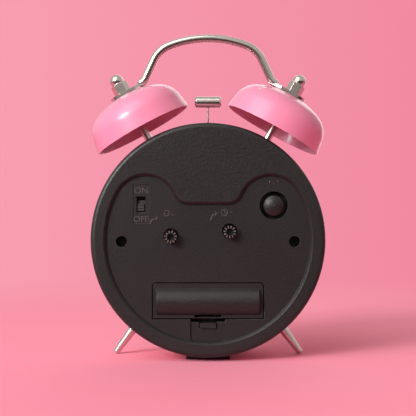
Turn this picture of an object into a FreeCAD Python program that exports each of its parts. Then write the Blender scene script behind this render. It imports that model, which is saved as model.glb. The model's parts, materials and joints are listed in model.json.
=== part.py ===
import FreeCAD, Part
import math
import os
import re
import Sketcher
from FreeCAD import Placement, Rotation, Vector

# Twin bell alarm clock. The dial looks along -Y, the back cover along +Y, and Z is up.
# The floor is z = 0. Most heights are given from the drum's axis, which runs along Y.
# Right is +X, the right-hand side for someone who faces the dial. Lengths are in mm.

os.makedirs("parts", exist_ok=True)
doc = FreeCAD.newDocument("TwinBellClock")

SIZES = {
    # Clearances
    "running_gap": 0.05,  # radial gap between a shaft and its bearing
    "seat_gap": 0.02,  # radial gap where a piece is pressed onto another
    "slip_gap": 0.15,  # gap around pieces that slide together by hand
    # Case
    "drum_radius": 58,  # outer radius of the sheet drum
    "cover_over": 0.75,  # the cover's rim stands out over the drum by this
    "cover_radius": "=drum_radius + cover_over",  # outer radius of the black back cover
    "rim_lift": 1.8,  # the cover's rim stands this much above the floor
    "axis_height": "=cover_radius + rim_lift",  # height of the drum's axis
    "drum_wall": 0.6,  # sheet of the drum
    "drum_bore": "=drum_radius - drum_wall",  # inner radius of the drum
    "drum_front": -22,  # front edge of the drum
    "drum_back": 18.5,  # rear edge of the drum
    "rim_face": 23,  # rearmost plane of the cover's rim
    "recess_depth": 2,  # step from the rim down to the panel
    "panel_face": "=rim_face - recess_depth",  # outer face of the panel
    "panel_wall": 1.8,  # thickness of the panel
    "panel_inside": "=panel_face - panel_wall",  # inner face of the panel
    "rim_round": 2.4,  # rounding of the rim's rear edge
    "spigot_wall": 1.6,  # wall of the ring that enters the drum
    "spigot_depth": 4,  # how far that ring enters the drum
    "rim_width": 7.75,  # from the cover's edge in to the recess
    "recess_radius": "=cover_radius - rim_width",  # large arc of the recess outline
    "recess_wall": 2.2,  # wall between the recess and the moulding groove behind the rim
    "groove_radius": "=recess_radius + recess_wall",  # inner radius of that groove
    "recess_slope": 1.2,  # bevel along the top of the recess wall
    "lobe_radius": 15.5,  # arcs of the two upper lobes of the recess
    "lobe_angle": 28.2,  # direction of each lobe's centre above the horizontal
    "lobe_x": "=(recess_radius - lobe_radius)*cos(lobe_angle)",  # lobe centre across
    "lobe_v": "=(recess_radius - lobe_radius)*sin(lobe_angle)",  # lobe centre above the axis
    "shoulder_v": 17.9,  # flat step between the lobes
    "shoulder_half": 10,  # half the length of that step
    "shoulder_drop": "=shoulder_v - lobe_v",  # step above the lobe centres
    "shoulder_reach": "=lobe_x - shoulder_half",  # end of the step to the lobe centre
    # arc between the step and a lobe
    "shoulder_round": "=(shoulder_reach^2 + shoulder_drop^2 - lobe_radius^2)/(2*(lobe_radius -"
        " shoulder_drop))",
    "join_share": "=shoulder_round/(shoulder_round + lobe_radius)",  # where that arc meets the lobe
    "join_x": "=shoulder_half + join_share*shoulder_reach",  # meeting point across
    # meeting point up
    "join_v": "=shoulder_v + shoulder_round - join_share*(shoulder_drop + shoulder_round)",
    # Things set into the panel
    "screw_inset": 7.8,  # cover screws in from the edge of the recess
    "screw_x": "=recess_radius - screw_inset",  # cover screws from the middle
    "screw_v": -0.7,  # cover screws, height
    "screw_well": 2.7,  # radius of the screw wells
    "screw_boss": 4.2,  # radius of the bosses around them
    "boss_end": 9,  # inner end of the bosses
    "screw_radius": 1.25,  # screw shank
    "alarm_x": 18.5,  # alarm setting shaft across
    "alarm_v": 1.7,  # alarm setting shaft up
    "time_x": -10.8,  # time setting shaft across
    "time_v": 4.2,  # time setting shaft up
    "knob_radius": 3.1,  # ribbed knob
    "knob_hole": 3.7,  # hole in the panel round a knob
    "knob_start": 21.6,  # inner end of the ribbed head
    "knob_end": 26,  # outer end of the ribbed head
    "core_radius": 2,  # core of the knob inside its ribs
    "rib_width": 0.6,  # thickness of the knob's ribs
    "stem_radius": 1.9,  # knob stem
    "arbor_radius": 1.2,  # setting shafts
    "arbor_end": 16,  # rear end of the setting shafts
    "switch_x": 33.5,  # alarm switch across
    "switch_v": 16.4,  # slider's middle at OFF
    "switch_travel": 3,  # slider's way from OFF up to ON
    "slider_width": 3.3,  # slider thumb piece across
    "slider_height": 3.6,  # slider thumb piece up
    "slider_face": 20.5,  # slider's outer face
    "slot_half": 2.2,  # half the width of the switch slot
    "slot_low": 13.9,  # lower end of the slot
    "slot_high": 21.8,  # upper end of the slot
    "button_x": -32.9,  # light button across
    "button_v": 17.3,  # light button up
    "well_radius": 7,  # well round the light button
    "well_wall": 1.2,  # wall and floor of the well
    "well_floor": 16,  # bottom of the well
    "dome_radius": 5.2,  # light button's radius
    "dome_low": 18.2,  # underside of the button's head
    "dome_edge": 20.6,  # where the button's dome starts
    "dome_top": 22.4,  # top of the dome
    "button_stem": 1.8,  # button stem
    "button_travel": 1.5,  # how far the button goes in
    # Battery bay and its door
    "battery_radius": 7.1,  # one cell of 14.2 mm diameter
    "battery_length": 50.5,  # over the nub
    "nub_length": 1.5,  # nub of the cell
    "cell_half": "=(battery_length - nub_length)/2",  # half the length of the cell's can
    "battery_y": 16.1,  # cell axis, front to back
    "battery_v": -30.9,  # cell axis, height
    "bay_gap": 0.6,  # room round the cell in its bay
    "bay_wall": 1.2,  # walls of the bay
    "bay_half": 27.6,  # half the inner length of the bay
    "bay_floor": "=battery_y - battery_radius - 0.2",  # bottom of the bay
    "door_half": 27.5,  # half the width of the door
    "door_high": -21.6,  # upper edge of the door, where it turns
    "door_low": -39,  # lower edge of the door
    "door_wall": 1.6,  # door plate
    "door_gap": 0.5,  # gap round the door
    "door_corner": 1.5,  # rounding of the door's upper corners
    "door_inside": "=panel_face - door_wall",  # inner face of the door plate
    "strip_end": "=door_inside - 0.5",  # outer end of the battery contacts, under the door
    "bulge_radius": 8.2,  # outer radius of the door's bulge
    "bulge_wall": 0.8,  # wall of the bulge
    "bulge_end": 0.65,  # how far the bulge goes past the cell's ends
    "bulge_half": "=battery_length/2 + bulge_end",  # half the length of the bulge
    "tab_x": 18,  # hinge tabs from the middle
    "tab_half": 2,  # half the width of a hinge tab
    "tab_reach": 1.5,  # how far the tabs go behind the panel
    "latch_half": 3.5,  # half the width of the latch
    "thumb_half": 8.8,  # half the width of the thumb recess
    "thumb_inset": 0.4,  # lower end of the thumb recess in from the edge of the recess
    "thumb_low": "=thumb_inset - recess_radius",  # lower end of the thumb recess
    "thumb_depth": 1,  # depth of the thumb recess
    # Front
    "bezel_width": 7,  # from the drum in to the bezel's opening
    "window_radius": "=drum_radius - bezel_width",  # free opening of the front bezel
    "disc_gap": 1.4,  # glass and dial inside the drum
    "disc_radius": "=drum_bore - disc_gap",  # radius of the glass and of the dial
    "bezel_front": -23,  # foremost plane of the bezel
    "bezel_wall": 0.5,  # sheet of the bezel
    "lens_wall": 1.2,  # glass thickness
    "lens_front": -21.5,  # outer face of the glass
    "lens_back": "=lens_front + lens_wall",  # inner face of the glass
    "dial_front": -12.5,  # printed face of the dial
    "dial_wall": 0.4,  # dial sheet
    "dial_back": "=dial_front + dial_wall",  # rear face of the dial
    "frame_wall": 1.6,  # plate behind the dial
    "frame_back": "=dial_back + frame_wall",  # rear face of that plate
    # Bells, posts, handle and feet
    "bell_lean": 29,  # bell axis from the vertical
    "bell_offset": 1.8,  # bell axis from the drum's axis
    "bell_lift": 7.7,  # bell mouth from the drum, along the bell's axis
    "bell_mouth": "=drum_radius + bell_lift",  # bell mouth along its axis
    "bell_radius": 26.5,  # mouth radius
    "bell_height": 20.7,  # mouth to crown
    "bell_wall": 0.8,  # bell sheet
    "bell_flare": 8,  # lean of the bell's side
    "shoulder_arc": 13,  # arc between side and crown
    "crown_arc": 45,  # arc of the crown
    "bell_line": "=bell_radius - shoulder_arc/cos(bell_flare)",  # helps to place the shoulder arc
    "bell_drop": "=bell_height - crown_arc",  # centre of the crown arc
    "bell_mix": "=bell_line*tan(bell_flare) + bell_drop",  # helps to place the shoulder arc
    "bell_span": "=1 + tan(bell_flare)^2",  # helps to place the shoulder arc
    # centre of the shoulder arc, up
    "shoulder_z": "=(bell_mix + sqrt(bell_mix^2 - bell_span*(bell_line^2 + bell_drop^2 -"
        " (crown_arc - shoulder_arc)^2)))/bell_span",
    "shoulder_x": "=bell_line - shoulder_z*tan(bell_flare)",  # centre of the shoulder arc, out
    "post_radius": 2.1,  # post between drum and bell
    "post_seat": "=drum_radius + 0.05",  # where the post stands on the drum
    "stud_radius": 1.7,  # threaded ends of posts and feet
    "nut_gap": 0.35,  # nuts from the inside of the drum
    "nut_face": "=drum_bore - nut_gap",  # outer face of the nuts inside the drum
    "nut_depth": 3,  # thickness of those nuts
    "stud_show": 0.45,  # what stands out of a nut
    "stud_end": "=nut_face - nut_depth - stud_show",  # inner end of the studs
    "nut_corner": 4.05,  # corner radius of those nuts
    "tab_low": "=bell_mouth + bell_height - 0.03",  # underside of the handle's tab
    "tab_wall": 1.3,  # flattened end of the handle
    "tab_width": 8.6,  # width of the flattened end
    "cap_low": "=tab_low + tab_wall",  # foot of the cap nut
    "cap_depth": 5.33,  # height of the cap nut's hexagon
    "cap_high": "=cap_low + cap_depth",  # end of the cap nut's hexagon
    "cap_corner": 4.4,  # corner radius of the cap nut
    "ball_lift": 1.7,  # centre of the ball above the hexagon
    "ball_at": "=cap_high + ball_lift",  # centre of the cap nut's ball
    "ball_radius": 3.5,  # ball on the cap nut
    "rod_radius": 2.1,  # handle rod
    "arch_lift": 46.4,  # top of the handle's centreline above the drum
    "apex_v": "=drum_radius + arch_lift",  # top of the handle's centreline
    "arch_radius": 55.4,  # shallow arch of the handle
    "arch_turn": 21.2,  # how far the arch turns
    "corner_radius": 15,  # handle corner
    "leg_turn": 65.2,  # how steeply the legs go down
    "heel_radius": 5,  # bend into the tab
    "arch_x": "=arch_radius*sin(arch_turn)",  # end of the arch across
    "arch_v": "=apex_v - arch_radius*(1 - cos(arch_turn))",  # end of the arch up
    "leg_x": "=arch_x + corner_radius*(sin(leg_turn) - sin(arch_turn))",  # top of a leg across
    "leg_v": "=arch_v - corner_radius*(cos(arch_turn) - cos(leg_turn))",  # top of a leg up
    "toe_lift": 0.8,  # rod's centreline above the tab's middle
    "heel_dx": "=heel_radius*(sin(leg_turn) - sin(bell_lean))",  # bend into the tab across
    "heel_dv": "=heel_radius*(cos(bell_lean) - cos(leg_turn))",  # bend into the tab down
    # straight part of a leg
    "leg_length": "=(sin(bell_lean)*(leg_x + heel_dx) + cos(bell_lean)*(leg_v - heel_dv) -"
        " tab_low - tab_wall/2 - toe_lift)/sin(leg_turn - bell_lean)",
    "heel_x": "=leg_x + leg_length*cos(leg_turn)",  # foot of a leg across
    "heel_v": "=leg_v - leg_length*sin(leg_turn)",  # foot of a leg up
    "toe_x": "=heel_x + heel_dx",  # where the tab starts across
    "toe_v": "=heel_v - heel_dv",  # where the tab starts up
    "foot_lean": 36.4,  # foot axis from the vertical
    "foot_offset": 3.5,  # foot axis from the drum's axis
    "foot_y": -6.8,  # feet, front to back
    "foot_wide": 2.7,  # foot radius at the drum
    "foot_narrow": 1.65,  # foot radius at the floor
    "foot_flat": 0.5,  # what the floor takes off the lower corner of a foot's tip
    # end of the foot, square to its axis
    "foot_end": "=(axis_height + (foot_offset - foot_narrow)*sin(foot_lean) +"
        " foot_flat)/cos(foot_lean)",
    "pad_half": 11,  # half the width of the rubber pad under the drum
    "pad_front": 7.2,  # front end of the pad
    "pad_back": 14.2,  # rear end of the pad
    "pad_peg": 1.6,  # peg that holds the pad in the drum
    # Clockwork
    "coil_v": 22,  # coil of the stepper motor, height
    "coil_half": 3,  # half the height of the coil's flanges
    "box_half": "=coil_v + 5",  # half the width of the movement box
    "box_wall": 1.2,  # its walls
    "box_front": "=frame_back",  # front of the movement box
    "mid_front": -4.2,  # front of the middle plate
    "mid_back": -3.2,  # rear of the middle plate
    "rear_inside": 3.6,  # inside of the rear plate
    "rear_back": 5.4,  # rear of the movement box
    "bush_radius": 4,  # collar round the hand shafts
    "second_arbor": 0.4,  # seconds shaft
    "minute_tube": 1,  # minute tube
    "hour_tube": 1.7,  # hour tube
    "alarm_tube": 2.4,  # alarm tube
    "setting_reach": "=sqrt(time_x^2 + time_v^2)",  # time shaft from the hand shaft
    "alarm_reach": "=sqrt(alarm_x^2 + alarm_v^2)",  # alarm shaft from the hand shaft
    "alarm_module": "=2*alarm_reach/60",  # 48 and 12 teeth
    "hour_module": "=2*setting_reach/50",  # 40 and 10 teeth
    "motion_module": "=2*setting_reach/48",  # 36 and 12 teeth
    "third_module": 0.35,  # 45 and 6 teeth
    "third_reach": "=third_module*(45 + 6)/2",  # third shaft from the middle
    "third_angle": -110,  # direction of the third shaft
    "third_x": "=third_reach*cos(third_angle)",  # third shaft across
    "third_v": "=third_reach*sin(third_angle)",  # third shaft up
    "centre_module": "=2*third_reach/54",  # 48 and 6 teeth
    "step_module": 0.5,  # 30 and 6 teeth
    "step_reach": "=step_module*(30 + 6)/2",  # step shaft from the middle
    "step_angle": 60,  # direction of the step shaft
    "step_x": "=step_reach*cos(step_angle)",  # step shaft across
    "step_v": "=step_reach*sin(step_angle)",  # step shaft up
    "rotor_module": 0.42,  # 36 and 6 teeth
    "rotor_reach": "=rotor_module*(36 + 6)/2",  # rotor from the step shaft
    "rotor_angle": 30,  # direction of the rotor from the step shaft
    "rotor_x": "=step_x + rotor_reach*cos(rotor_angle)",  # rotor across
    "rotor_v": "=step_v + rotor_reach*sin(rotor_angle)",  # rotor up
    "pivot_radius": 0.5,  # small wheel shafts
    # Bell strike
    "crank_v": 36,  # crank gear's axis
    "crank_module": 0.42,  # 24 and 8 teeth
    "motor_x": "=crank_module*(24 + 8)/2",  # motor axis across
    "motor_radius": 7,  # motor can
    "plate_front": 3,  # front of the striker plate
    "plate_back": 4.2,  # rear of the striker plate
    "plate_screw_x": 16,  # striker screws across
    "plate_screw_v": 33,  # striker screws up
    "crank_throw": 1.06,  # crank pin from the crank's axis
    "pin_radius": 0.6,  # crank pin
    "swing_v": 44,  # hammer's pivot
    "swing_pin": 1,  # hammer's pivot pin
    "lever_half": 0.75,  # half the thickness of the lever
    "window_half": 3.1,  # half the width of the lever's window
    "window_rise": 2.1,  # half the height of the lever's window
    "wire_radius": 0.45,  # hammer wire
    "head_lift": 5.5,  # hammer head's middle above the bells' mouths
    "head_v": "=bell_mouth + head_lift",  # hammer head's middle
    "head_half": 6.85,  # half the length of the hammer head
    "head_radius": 2.9,  # hammer head
}

sizes = doc.addObject("Spreadsheet::Sheet", "Sizes")
for row, (name, value) in enumerate(SIZES.items(), 1):
    sizes.set("A" + str(row), name)
    sizes.set("B" + str(row), str(value))
    sizes.setAlias("B" + str(row), name)
nodes = []
doc.recompute()


def linked(text):
    found = re.compile(r"[a-z][a-z0-9_]*")
    return found.sub(lambda hit: "Sizes." + hit.group() if hit.group() in SIZES else hit.group(), str(text))


def number(text):
    return float(sizes.evalExpression(linked(text)))


def bind(item, target, text):
    item.setExpression(target, linked(text))


def put(item, x="0", y="0", v="0", turn=(0, 1, 0), angle="0"):
    """Place an item; v is its height above the drum's axis."""
    item.Placement = Placement(Vector(0, 0, 0), Rotation(Vector(*turn), number(angle)))
    bind(item, "Placement.Base.x", x)
    bind(item, "Placement.Base.y", y)
    bind(item, "Placement.Base.z", "axis_height + (" + v + ")")
    if not angle.replace(".", "").isdigit():
        bind(item, "Placement.Rotation.Angle", angle)
    return item


WAYS = {"y": ((-1, 0, 0), "90"), "x": ((0, 1, 0), "90"), "z": ((0, 1, 0), "0")}


def rod(name, radius, start, end, across="0", up="0", way="y"):
    """Cylinder along one axis from start to end; across and up place that axis."""
    item = doc.addObject("Part::Cylinder", name)
    bind(item, "Radius", radius)
    bind(item, "Height", "(" + end + ") - (" + start + ")")
    place = {"y": (across, start, up), "x": (start, across, up), "z": (across, up, start)}[way]
    return put(item, *place, turn=WAYS[way][0], angle=WAYS[way][1])


def cone(name, wide, narrow, start, end, across="0", up="0"):
    """Cone along Y, of the first radius at start and the second at end."""
    item = doc.addObject("Part::Cone", name)
    bind(item, "Radius1", wide)
    bind(item, "Radius2", narrow)
    bind(item, "Height", "(" + end + ") - (" + start + ")")
    return put(item, across, start, up, turn=WAYS["y"][0], angle="90")


def box(name, left, right, front, back, low, high):
    item = doc.addObject("Part::Box", name)
    bind(item, "Length", "(" + right + ") - (" + left + ")")
    bind(item, "Width", "(" + back + ") - (" + front + ")")
    bind(item, "Height", "(" + high + ") - (" + low + ")")
    return put(item, left, front, low)


def fuse(name, items):
    item = doc.addObject("Part::MultiFuse", name)
    item.Shapes = items
    item.Refine = True
    return item


def cut(name, base, tools):
    item = doc.addObject("Part::Cut", name)
    item.Base = base
    item.Tool = tools[0] if len(tools) == 1 else fuse(name + "_tools", tools)
    item.Refine = True
    return item


def common(name, items):
    item = doc.addObject("Part::MultiCommon", name)
    item.Shapes = items
    return item


def node(label, item):
    item.Label = label
    nodes.append(item)
    return item


def group(name, items):
    """Several separate solids of one kind, kept as one compound."""
    item = doc.addObject("Part::Compound", name)
    item.Links = items
    return item


def loop(points, arcs=None):
    return {"points": points, "arcs": arcs or {}}


def path(points, arcs):
    """An open line through the points."""
    return {"points": points, "arcs": arcs, "open": True}


def square(left, right, low, high):
    return loop([(left, low), (right, low), (right, high), (left, high)])


def ring(x, v, radius):
    return {"centre": (x, v), "radius": radius}


def sketch(body, name, role, offset, loops):
    """Closed loops whose corners, radii and centres all follow the sheet."""
    item = body.newObject("Sketcher::SketchObject", name)
    plane = [part for part in body.Origin.OriginFeatures if part.Role == role][0]
    item.AttachmentSupport = (plane, [""])
    item.MapMode = "FlatFace"
    if offset != "0":
        bind(item, "AttachmentOffset.Base.z", offset)

    def hold(edge, end, point):
        for way, axis, text in (("DistanceX", -2, point[0]), ("DistanceY", -1, point[1])):
            if abs(number(text)) < 1e-9:
                item.addConstraint(Sketcher.Constraint("PointOnObject", edge, end, axis))
            else:
                row = item.addConstraint(Sketcher.Constraint(way, -1, 1, edge, end, number(text)))
                item.setExpression("Constraints[" + str(row) + "]", linked(text))

    for piece in loops:
        first = item.GeometryCount
        if "centre" in piece:
            middle = Vector(number(piece["centre"][0]), number(piece["centre"][1]), 0)
            item.addGeometry(Part.Circle(middle, Vector(0, 0, 1), number(piece["radius"])))
            hold(first, 3, piece["centre"])
            row = item.addConstraint(Sketcher.Constraint("Radius", first, number(piece["radius"])))
            item.setExpression("Constraints[" + str(row) + "]", linked(piece["radius"]))
            continue
        points = piece["points"]
        count = len(points)
        lines = count - 1 if "open" in piece else count
        ends = []
        for place in range(lines):
            start = Vector(number(points[place][0]), number(points[place][1]), 0)
            stop = Vector(*[number(text) for text in points[(place + 1) % count]], 0)
            if place not in piece["arcs"]:
                item.addGeometry(Part.LineSegment(start, stop))
                ends.append((1, 2))
                continue
            # A positive radius has its centre left of the way from start to stop.
            radius = number(piece["arcs"][place])
            half = (stop - start) * 0.5
            side = Vector(-half.y, half.x, 0).normalize()
            depth = math.sqrt(max(radius**2 - half.Length**2, 0)) * math.copysign(1, radius)
            middle = start + half + side * depth
            circle = Part.Circle(middle, Vector(0, 0, 1), abs(radius))
            begin = math.atan2(start.y - middle.y, start.x - middle.x)
            finish = math.atan2(stop.y - middle.y, stop.x - middle.x)
            if radius > 0:
                item.addGeometry(Part.ArcOfCircle(circle, begin, finish))
                ends.append((1, 2))
            else:
                item.addGeometry(Part.ArcOfCircle(circle, finish, begin))
                ends.append((2, 1))
        for place in range(lines):
            after = (place + 1) % lines
            if "open" in piece and after == 0:
                hold(first + place, ends[place][1], points[count - 1])
            else:
                item.addConstraint(Sketcher.Constraint(
                    "Coincident", first + place, ends[place][1], first + after, ends[after][0]))
            hold(first + place, ends[place][0], points[place])
            if place in piece["arcs"]:
                text = piece["arcs"][place].lstrip("-")
                row = item.addConstraint(Sketcher.Constraint("Radius", first + place, number(text)))
                item.setExpression("Constraints[" + str(row) + "]", linked(text))
    return item


def new_body(name):
    return doc.addObject("PartDesign::Body", name)


def turned(name, points, arcs=None, way="y"):
    """Body of revolution: corner points are (radius, position along the axis)."""
    body = new_body(name)
    role = "XY_Plane" if way == "y" else "XZ_Plane"
    profile = sketch(body, name + "_profile", role, "0", [loop(points, arcs)])
    spin = body.newObject("PartDesign::Revolution", name + "_spin")
    spin.Profile = profile
    spin.ReferenceAxis = (profile, ["V_Axis"])
    spin.Angle = 360
    return body


def pad(body, name, loops, front, back):
    """Material between two planes across Y."""
    item = body.newObject("PartDesign::Pad", name)
    item.Profile = sketch(body, name + "_outline", "XZ_Plane", "-(" + back + ")", loops)
    bind(item, "Length", "(" + back + ") - (" + front + ")")
    return item


def pocket(body, name, loops, front, back):
    """Space between two planes across Y; it must take material away."""
    item = body.newObject("PartDesign::Pocket", name)
    item.Profile = sketch(body, name + "_outline", "XZ_Plane", "-(" + front + ")", loops)
    bind(item, "Length", "(" + back + ") - (" + front + ")")
    return item


def along(lean, offset, side, reach, down=False):
    """Placement texts for a point on a bell's or a foot's leaning axis."""
    sign = "-" if side < 0 else ""
    if down:
        return (sign + "(" + offset + "*cos(" + lean + ") + (" + reach + ")*sin(" + lean + "))",
                "(" + offset + "*sin(" + lean + ") - (" + reach + ")*cos(" + lean + "))")
    return (sign + "(" + offset + "*cos(" + lean + ") + (" + reach + ")*sin(" + lean + "))",
            "(-" + offset + "*sin(" + lean + ") + (" + reach + ")*cos(" + lean + "))")


def lean_bell(item, side):
    """Local Z becomes the bell's axis on one side."""
    x, v = along("bell_lean", "bell_offset", side, "0")
    return put(item, x, "0", v, turn=(0, side, 0), angle="bell_lean")


def lean_foot(item, side):
    """Local Z becomes the foot's axis, which points down and out."""
    x, v = along("foot_lean", "foot_offset", side, "0", down=True)
    return put(item, x, "foot_y", v, turn=(0, side, 0), angle="180 - foot_lean")


# Drum, front ring, glass, dial
drum_tube = turned("DrumTube", [
    ("drum_bore", "drum_front"), ("drum_radius", "drum_front"),
    ("drum_radius", "drum_back"), ("drum_bore", "drum_back")])
put(drum_tube)
openings = [box("HammerSlot", "-4", "4", "-1.6", "1.6", "drum_bore - 3", "drum_radius + 3")]
for side, word in ((1, "right"), (-1, "left")):
    hole = doc.addObject("Part::Cylinder", "PostHole_" + word)
    bind(hole, "Radius", "stud_radius + running_gap")
    bind(hole, "Height", "drum_radius + 2")
    openings.append(lean_bell(hole, side))
    hole = doc.addObject("Part::Cylinder", "FootHole_" + word)
    bind(hole, "Radius", "stud_radius + running_gap")
    bind(hole, "Height", "drum_radius + 2")
    openings.append(lean_foot(hole, side))
openings.append(rod("PadHole", "pad_peg + running_gap", "-drum_radius - 2", "-drum_bore + 2",
    "0", "(pad_front + pad_back)/2", "z"))
node("case_drum", cut("CaseDrum", drum_tube, openings))

bezel = turned("FrontBezel", [
    ("window_radius", "lens_front"), ("window_radius", "lens_front - 0.9"),
    ("window_radius + 0.6", "bezel_front"), ("drum_radius - 0.8", "bezel_front"),
    ("drum_radius + 0.5", "bezel_front + 0.8"), ("drum_radius + 0.5", "drum_front + 2.5"),
    ("drum_radius + running_gap", "drum_front + 2.5"), ("drum_radius + running_gap", "drum_front"),
    ("drum_bore - slip_gap", "drum_front"), ("drum_bore - slip_gap", "bezel_front + bezel_wall"),
    ("window_radius + 0.8", "bezel_front + bezel_wall"), ("window_radius + 0.8", "lens_front")])
node("front_bezel", put(bezel))

node("lens", rod("Lens", "disc_radius", "lens_front", "lens_back"))

dial_ring = turned("DialRing", [
    ("window_radius + 1", "lens_back"), ("drum_bore - 0.4", "lens_back"),
    ("drum_bore - 0.4", "lens_back + 1"), ("window_radius + 2.2", "lens_back + 1"),
    ("window_radius + 0.4", "dial_front"), ("window_radius - 1", "dial_front")])
node("dial_ring", put(dial_ring))

dial = new_body("Dial")
pad(dial, "DialSheet", [
    ring("0", "0", "disc_radius"), ring("0", "0", "alarm_tube + 0.8"), ring("0", "-30.5", "1.65")],
    "dial_front", "dial_back")
node("dial", put(dial))

frame = new_body("DialFrame")
pad(frame, "FramePlate", [
    ring("0", "0", "drum_bore - slip_gap"), ring("0", "0", "bush_radius + slip_gap"), ring("0", "-30.5",
        "1.65")],
    "dial_back", "frame_back")
pad(frame, "CoverPillars", [
    ring("screw_x", "screw_v", "4"), ring("-screw_x", "screw_v", "4")], "frame_back - 0.5", "boss_end")
pad(frame, "StrikerPillars", [
    ring("plate_screw_x", "plate_screw_v", "2.5"), ring("-plate_screw_x", "plate_screw_v", "2.5")],
    "frame_back - 0.5", "plate_front")
pocket(frame, "CoverScrewHoles", [
    ring("screw_x", "screw_v", "screw_radius + running_gap"), ring("-screw_x", "screw_v",
        "screw_radius + running_gap")],
    "boss_end - 9", "boss_end")
pocket(frame, "StrikerScrewHoles", [
    ring("plate_screw_x", "plate_screw_v", "0.95"), ring("-plate_screw_x", "plate_screw_v", "0.95")],
    "plate_front - 8", "plate_front")
node("dial_frame", put(frame))

lamp = fuse("DialLamp", [
    rod("LampBody", "1.5", "dial_front", "frame_back", up="-30.5"),
    cone("LampTip", "0.7", "1.5", "dial_front - 0.6", "dial_front", up="-30.5"),
    rod("LampFlange", "2.2", "frame_back", "frame_back + 1.2", up="-30.5")])
node("dial_lamp", lamp)

# Back cover
cover = turned("BackCover", [
    ("0", "panel_inside"), ("groove_radius", "panel_inside"),
    ("groove_radius", "panel_inside + 2"), ("drum_bore - slip_gap - spigot_wall", "panel_inside + 2"),
    ("drum_bore - slip_gap - spigot_wall", "drum_back - spigot_depth"),
    ("drum_bore - slip_gap", "drum_back - spigot_depth"), ("drum_bore - slip_gap", "drum_back"),
    ("cover_radius", "drum_back"), ("cover_radius", "rim_face - rim_round"),
    ("cover_radius - rim_round", "rim_face"), ("0", "rim_face")], {8: "rim_round"})
pad(cover, "Bay", [square(
    "-bay_half - 1.8", "bay_half + 1.8", "door_low - 3", "door_high + 3")], "bay_floor - bay_wall",
        "panel_inside + 0.1")
pad(cover, "WellCup", [ring("button_x", "button_v", "well_radius + well_wall")],
    "well_floor - well_wall", "panel_inside + 0.1")
pad(cover, "Bosses", [ring("screw_x", "screw_v", "screw_boss"), ring("-screw_x", "screw_v", "screw_boss")],
    "boss_end", "panel_inside + 0.1")
pocket(cover, "Recess", [loop([
    ("shoulder_half", "shoulder_v"), ("-shoulder_half", "shoulder_v"), ("-join_x", "join_v"),
    ("-recess_radius*cos(lobe_angle)", "recess_radius*sin(lobe_angle)"),
    ("0", "-recess_radius"),
    ("recess_radius*cos(lobe_angle)", "recess_radius*sin(lobe_angle)"), ("join_x", "join_v")],
    {1: "-shoulder_round", 2: "lobe_radius", 3: "recess_radius", 4: "recess_radius",
     5: "lobe_radius", 6: "-shoulder_round"})],
    "panel_face", "rim_face")
doc.recompute()
recessed = cover.Tip
edges = []
for place, edge in enumerate(recessed.Shape.Edges):
    bounds = edge.BoundBox
    flat = abs(bounds.YMin - number("rim_face")) < 0.001 and abs(bounds.YMax - number("rim_face")) < 0.001
    reach = max(math.hypot(corner.X, corner.Z) for corner in edge.Vertexes)
    if flat and reach < number("recess_radius") + 1:
        edges.append("Edge" + str(place + 1))
slope = cover.newObject("PartDesign::Chamfer", "RecessSlope")
slope.Base = (recessed, edges)
bind(slope, "Size", "recess_slope")
pocket(cover, "CrownRelief", [square("-13", "13", "shoulder_v + 3", "groove_radius - 7")],
       "panel_inside", "panel_inside + 2")
pocket(cover, "KnobHoles", [ring("alarm_x", "alarm_v + 0.5", "knob_hole"), ring("time_x", "time_v + 0.4",
    "knob_hole")],
       "panel_inside", "panel_face")
pocket(cover, "ScrewWells", [ring("screw_x", "screw_v", "screw_well"), ring("-screw_x", "screw_v",
    "screw_well")],
       "boss_end + 3", "panel_face")
pocket(cover, "ScrewHoles", [
    ring("screw_x", "screw_v", "screw_radius + slip_gap"), ring("-screw_x", "screw_v",
        "screw_radius + slip_gap")],
    "boss_end", "boss_end + 3")
pocket(cover, "SwitchFrame", [square("switch_x - 3.95", "switch_x + 3.95", "8.3", "27.9")],
       "panel_face - 0.3", "panel_face")
pocket(cover, "SwitchSlot", [square("switch_x - slot_half", "switch_x + slot_half", "slot_low",
    "slot_high")],
       "panel_inside", "panel_face")
pocket(cover, "Well", [ring("button_x", "button_v", "well_radius")], "well_floor", "panel_face")
pocket(cover, "ButtonHole", [ring("button_x", "button_v", "button_stem + running_gap")],
       "well_floor - well_wall", "well_floor")
pocket(cover, "DoorSeat", [loop([
    ("door_half + door_gap", "door_low - door_gap"),
    ("door_half + door_gap", "door_high - door_corner"),
    ("door_half - door_corner", "door_high + door_gap"),
    ("-door_half + door_corner", "door_high + door_gap"),
    ("-door_half - door_gap", "door_high - door_corner"),
    ("-door_half - door_gap", "door_low - door_gap")],
    {1: "door_corner + door_gap", 3: "door_corner + door_gap"})],
    "door_inside - 0.1", "panel_face")
pocket(cover, "BayRoom", [square(
    "-bay_half", "bay_half", "battery_v - battery_radius - bay_gap",
        "battery_v + battery_radius + bay_gap")],
    "bay_floor", "panel_face")
pocket(cover, "TabPockets", [
    square("tab_x - tab_half - 0.3", "tab_x + tab_half + 0.3", "battery_v + battery_radius",
        "door_high + tab_reach + 0.3"),
    square("-tab_x - tab_half - 0.3", "-tab_x + tab_half + 0.3", "battery_v + battery_radius",
           "door_high + tab_reach + 0.3")],
    "door_inside - 0.9", "panel_face - 0.65")
pocket(cover, "ThumbRecess", [loop([
    ("thumb_half", "door_low"), ("thumb_half", "thumb_low + 2"), ("thumb_half - 2", "thumb_low"),
    ("-thumb_half + 2", "thumb_low"), ("-thumb_half", "thumb_low + 2"), ("-thumb_half", "door_low")],
    {1: "-2", 3: "-2"})],
    "panel_face - thumb_depth", "panel_face")
pocket(cover, "LatchSlot", [square("-thumb_half + 0.4", "thumb_half - 0.4",
    "door_low - 1.9", "door_low + 0.6")],
       "door_inside - 3", "panel_face")
pocket(cover, "LatchRoom", [square("-latch_half - 0.95", "latch_half + 0.95", "door_low - 4.9",
    "door_low + 2.7")],
       "bay_floor + 4.6", "panel_face")
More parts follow.
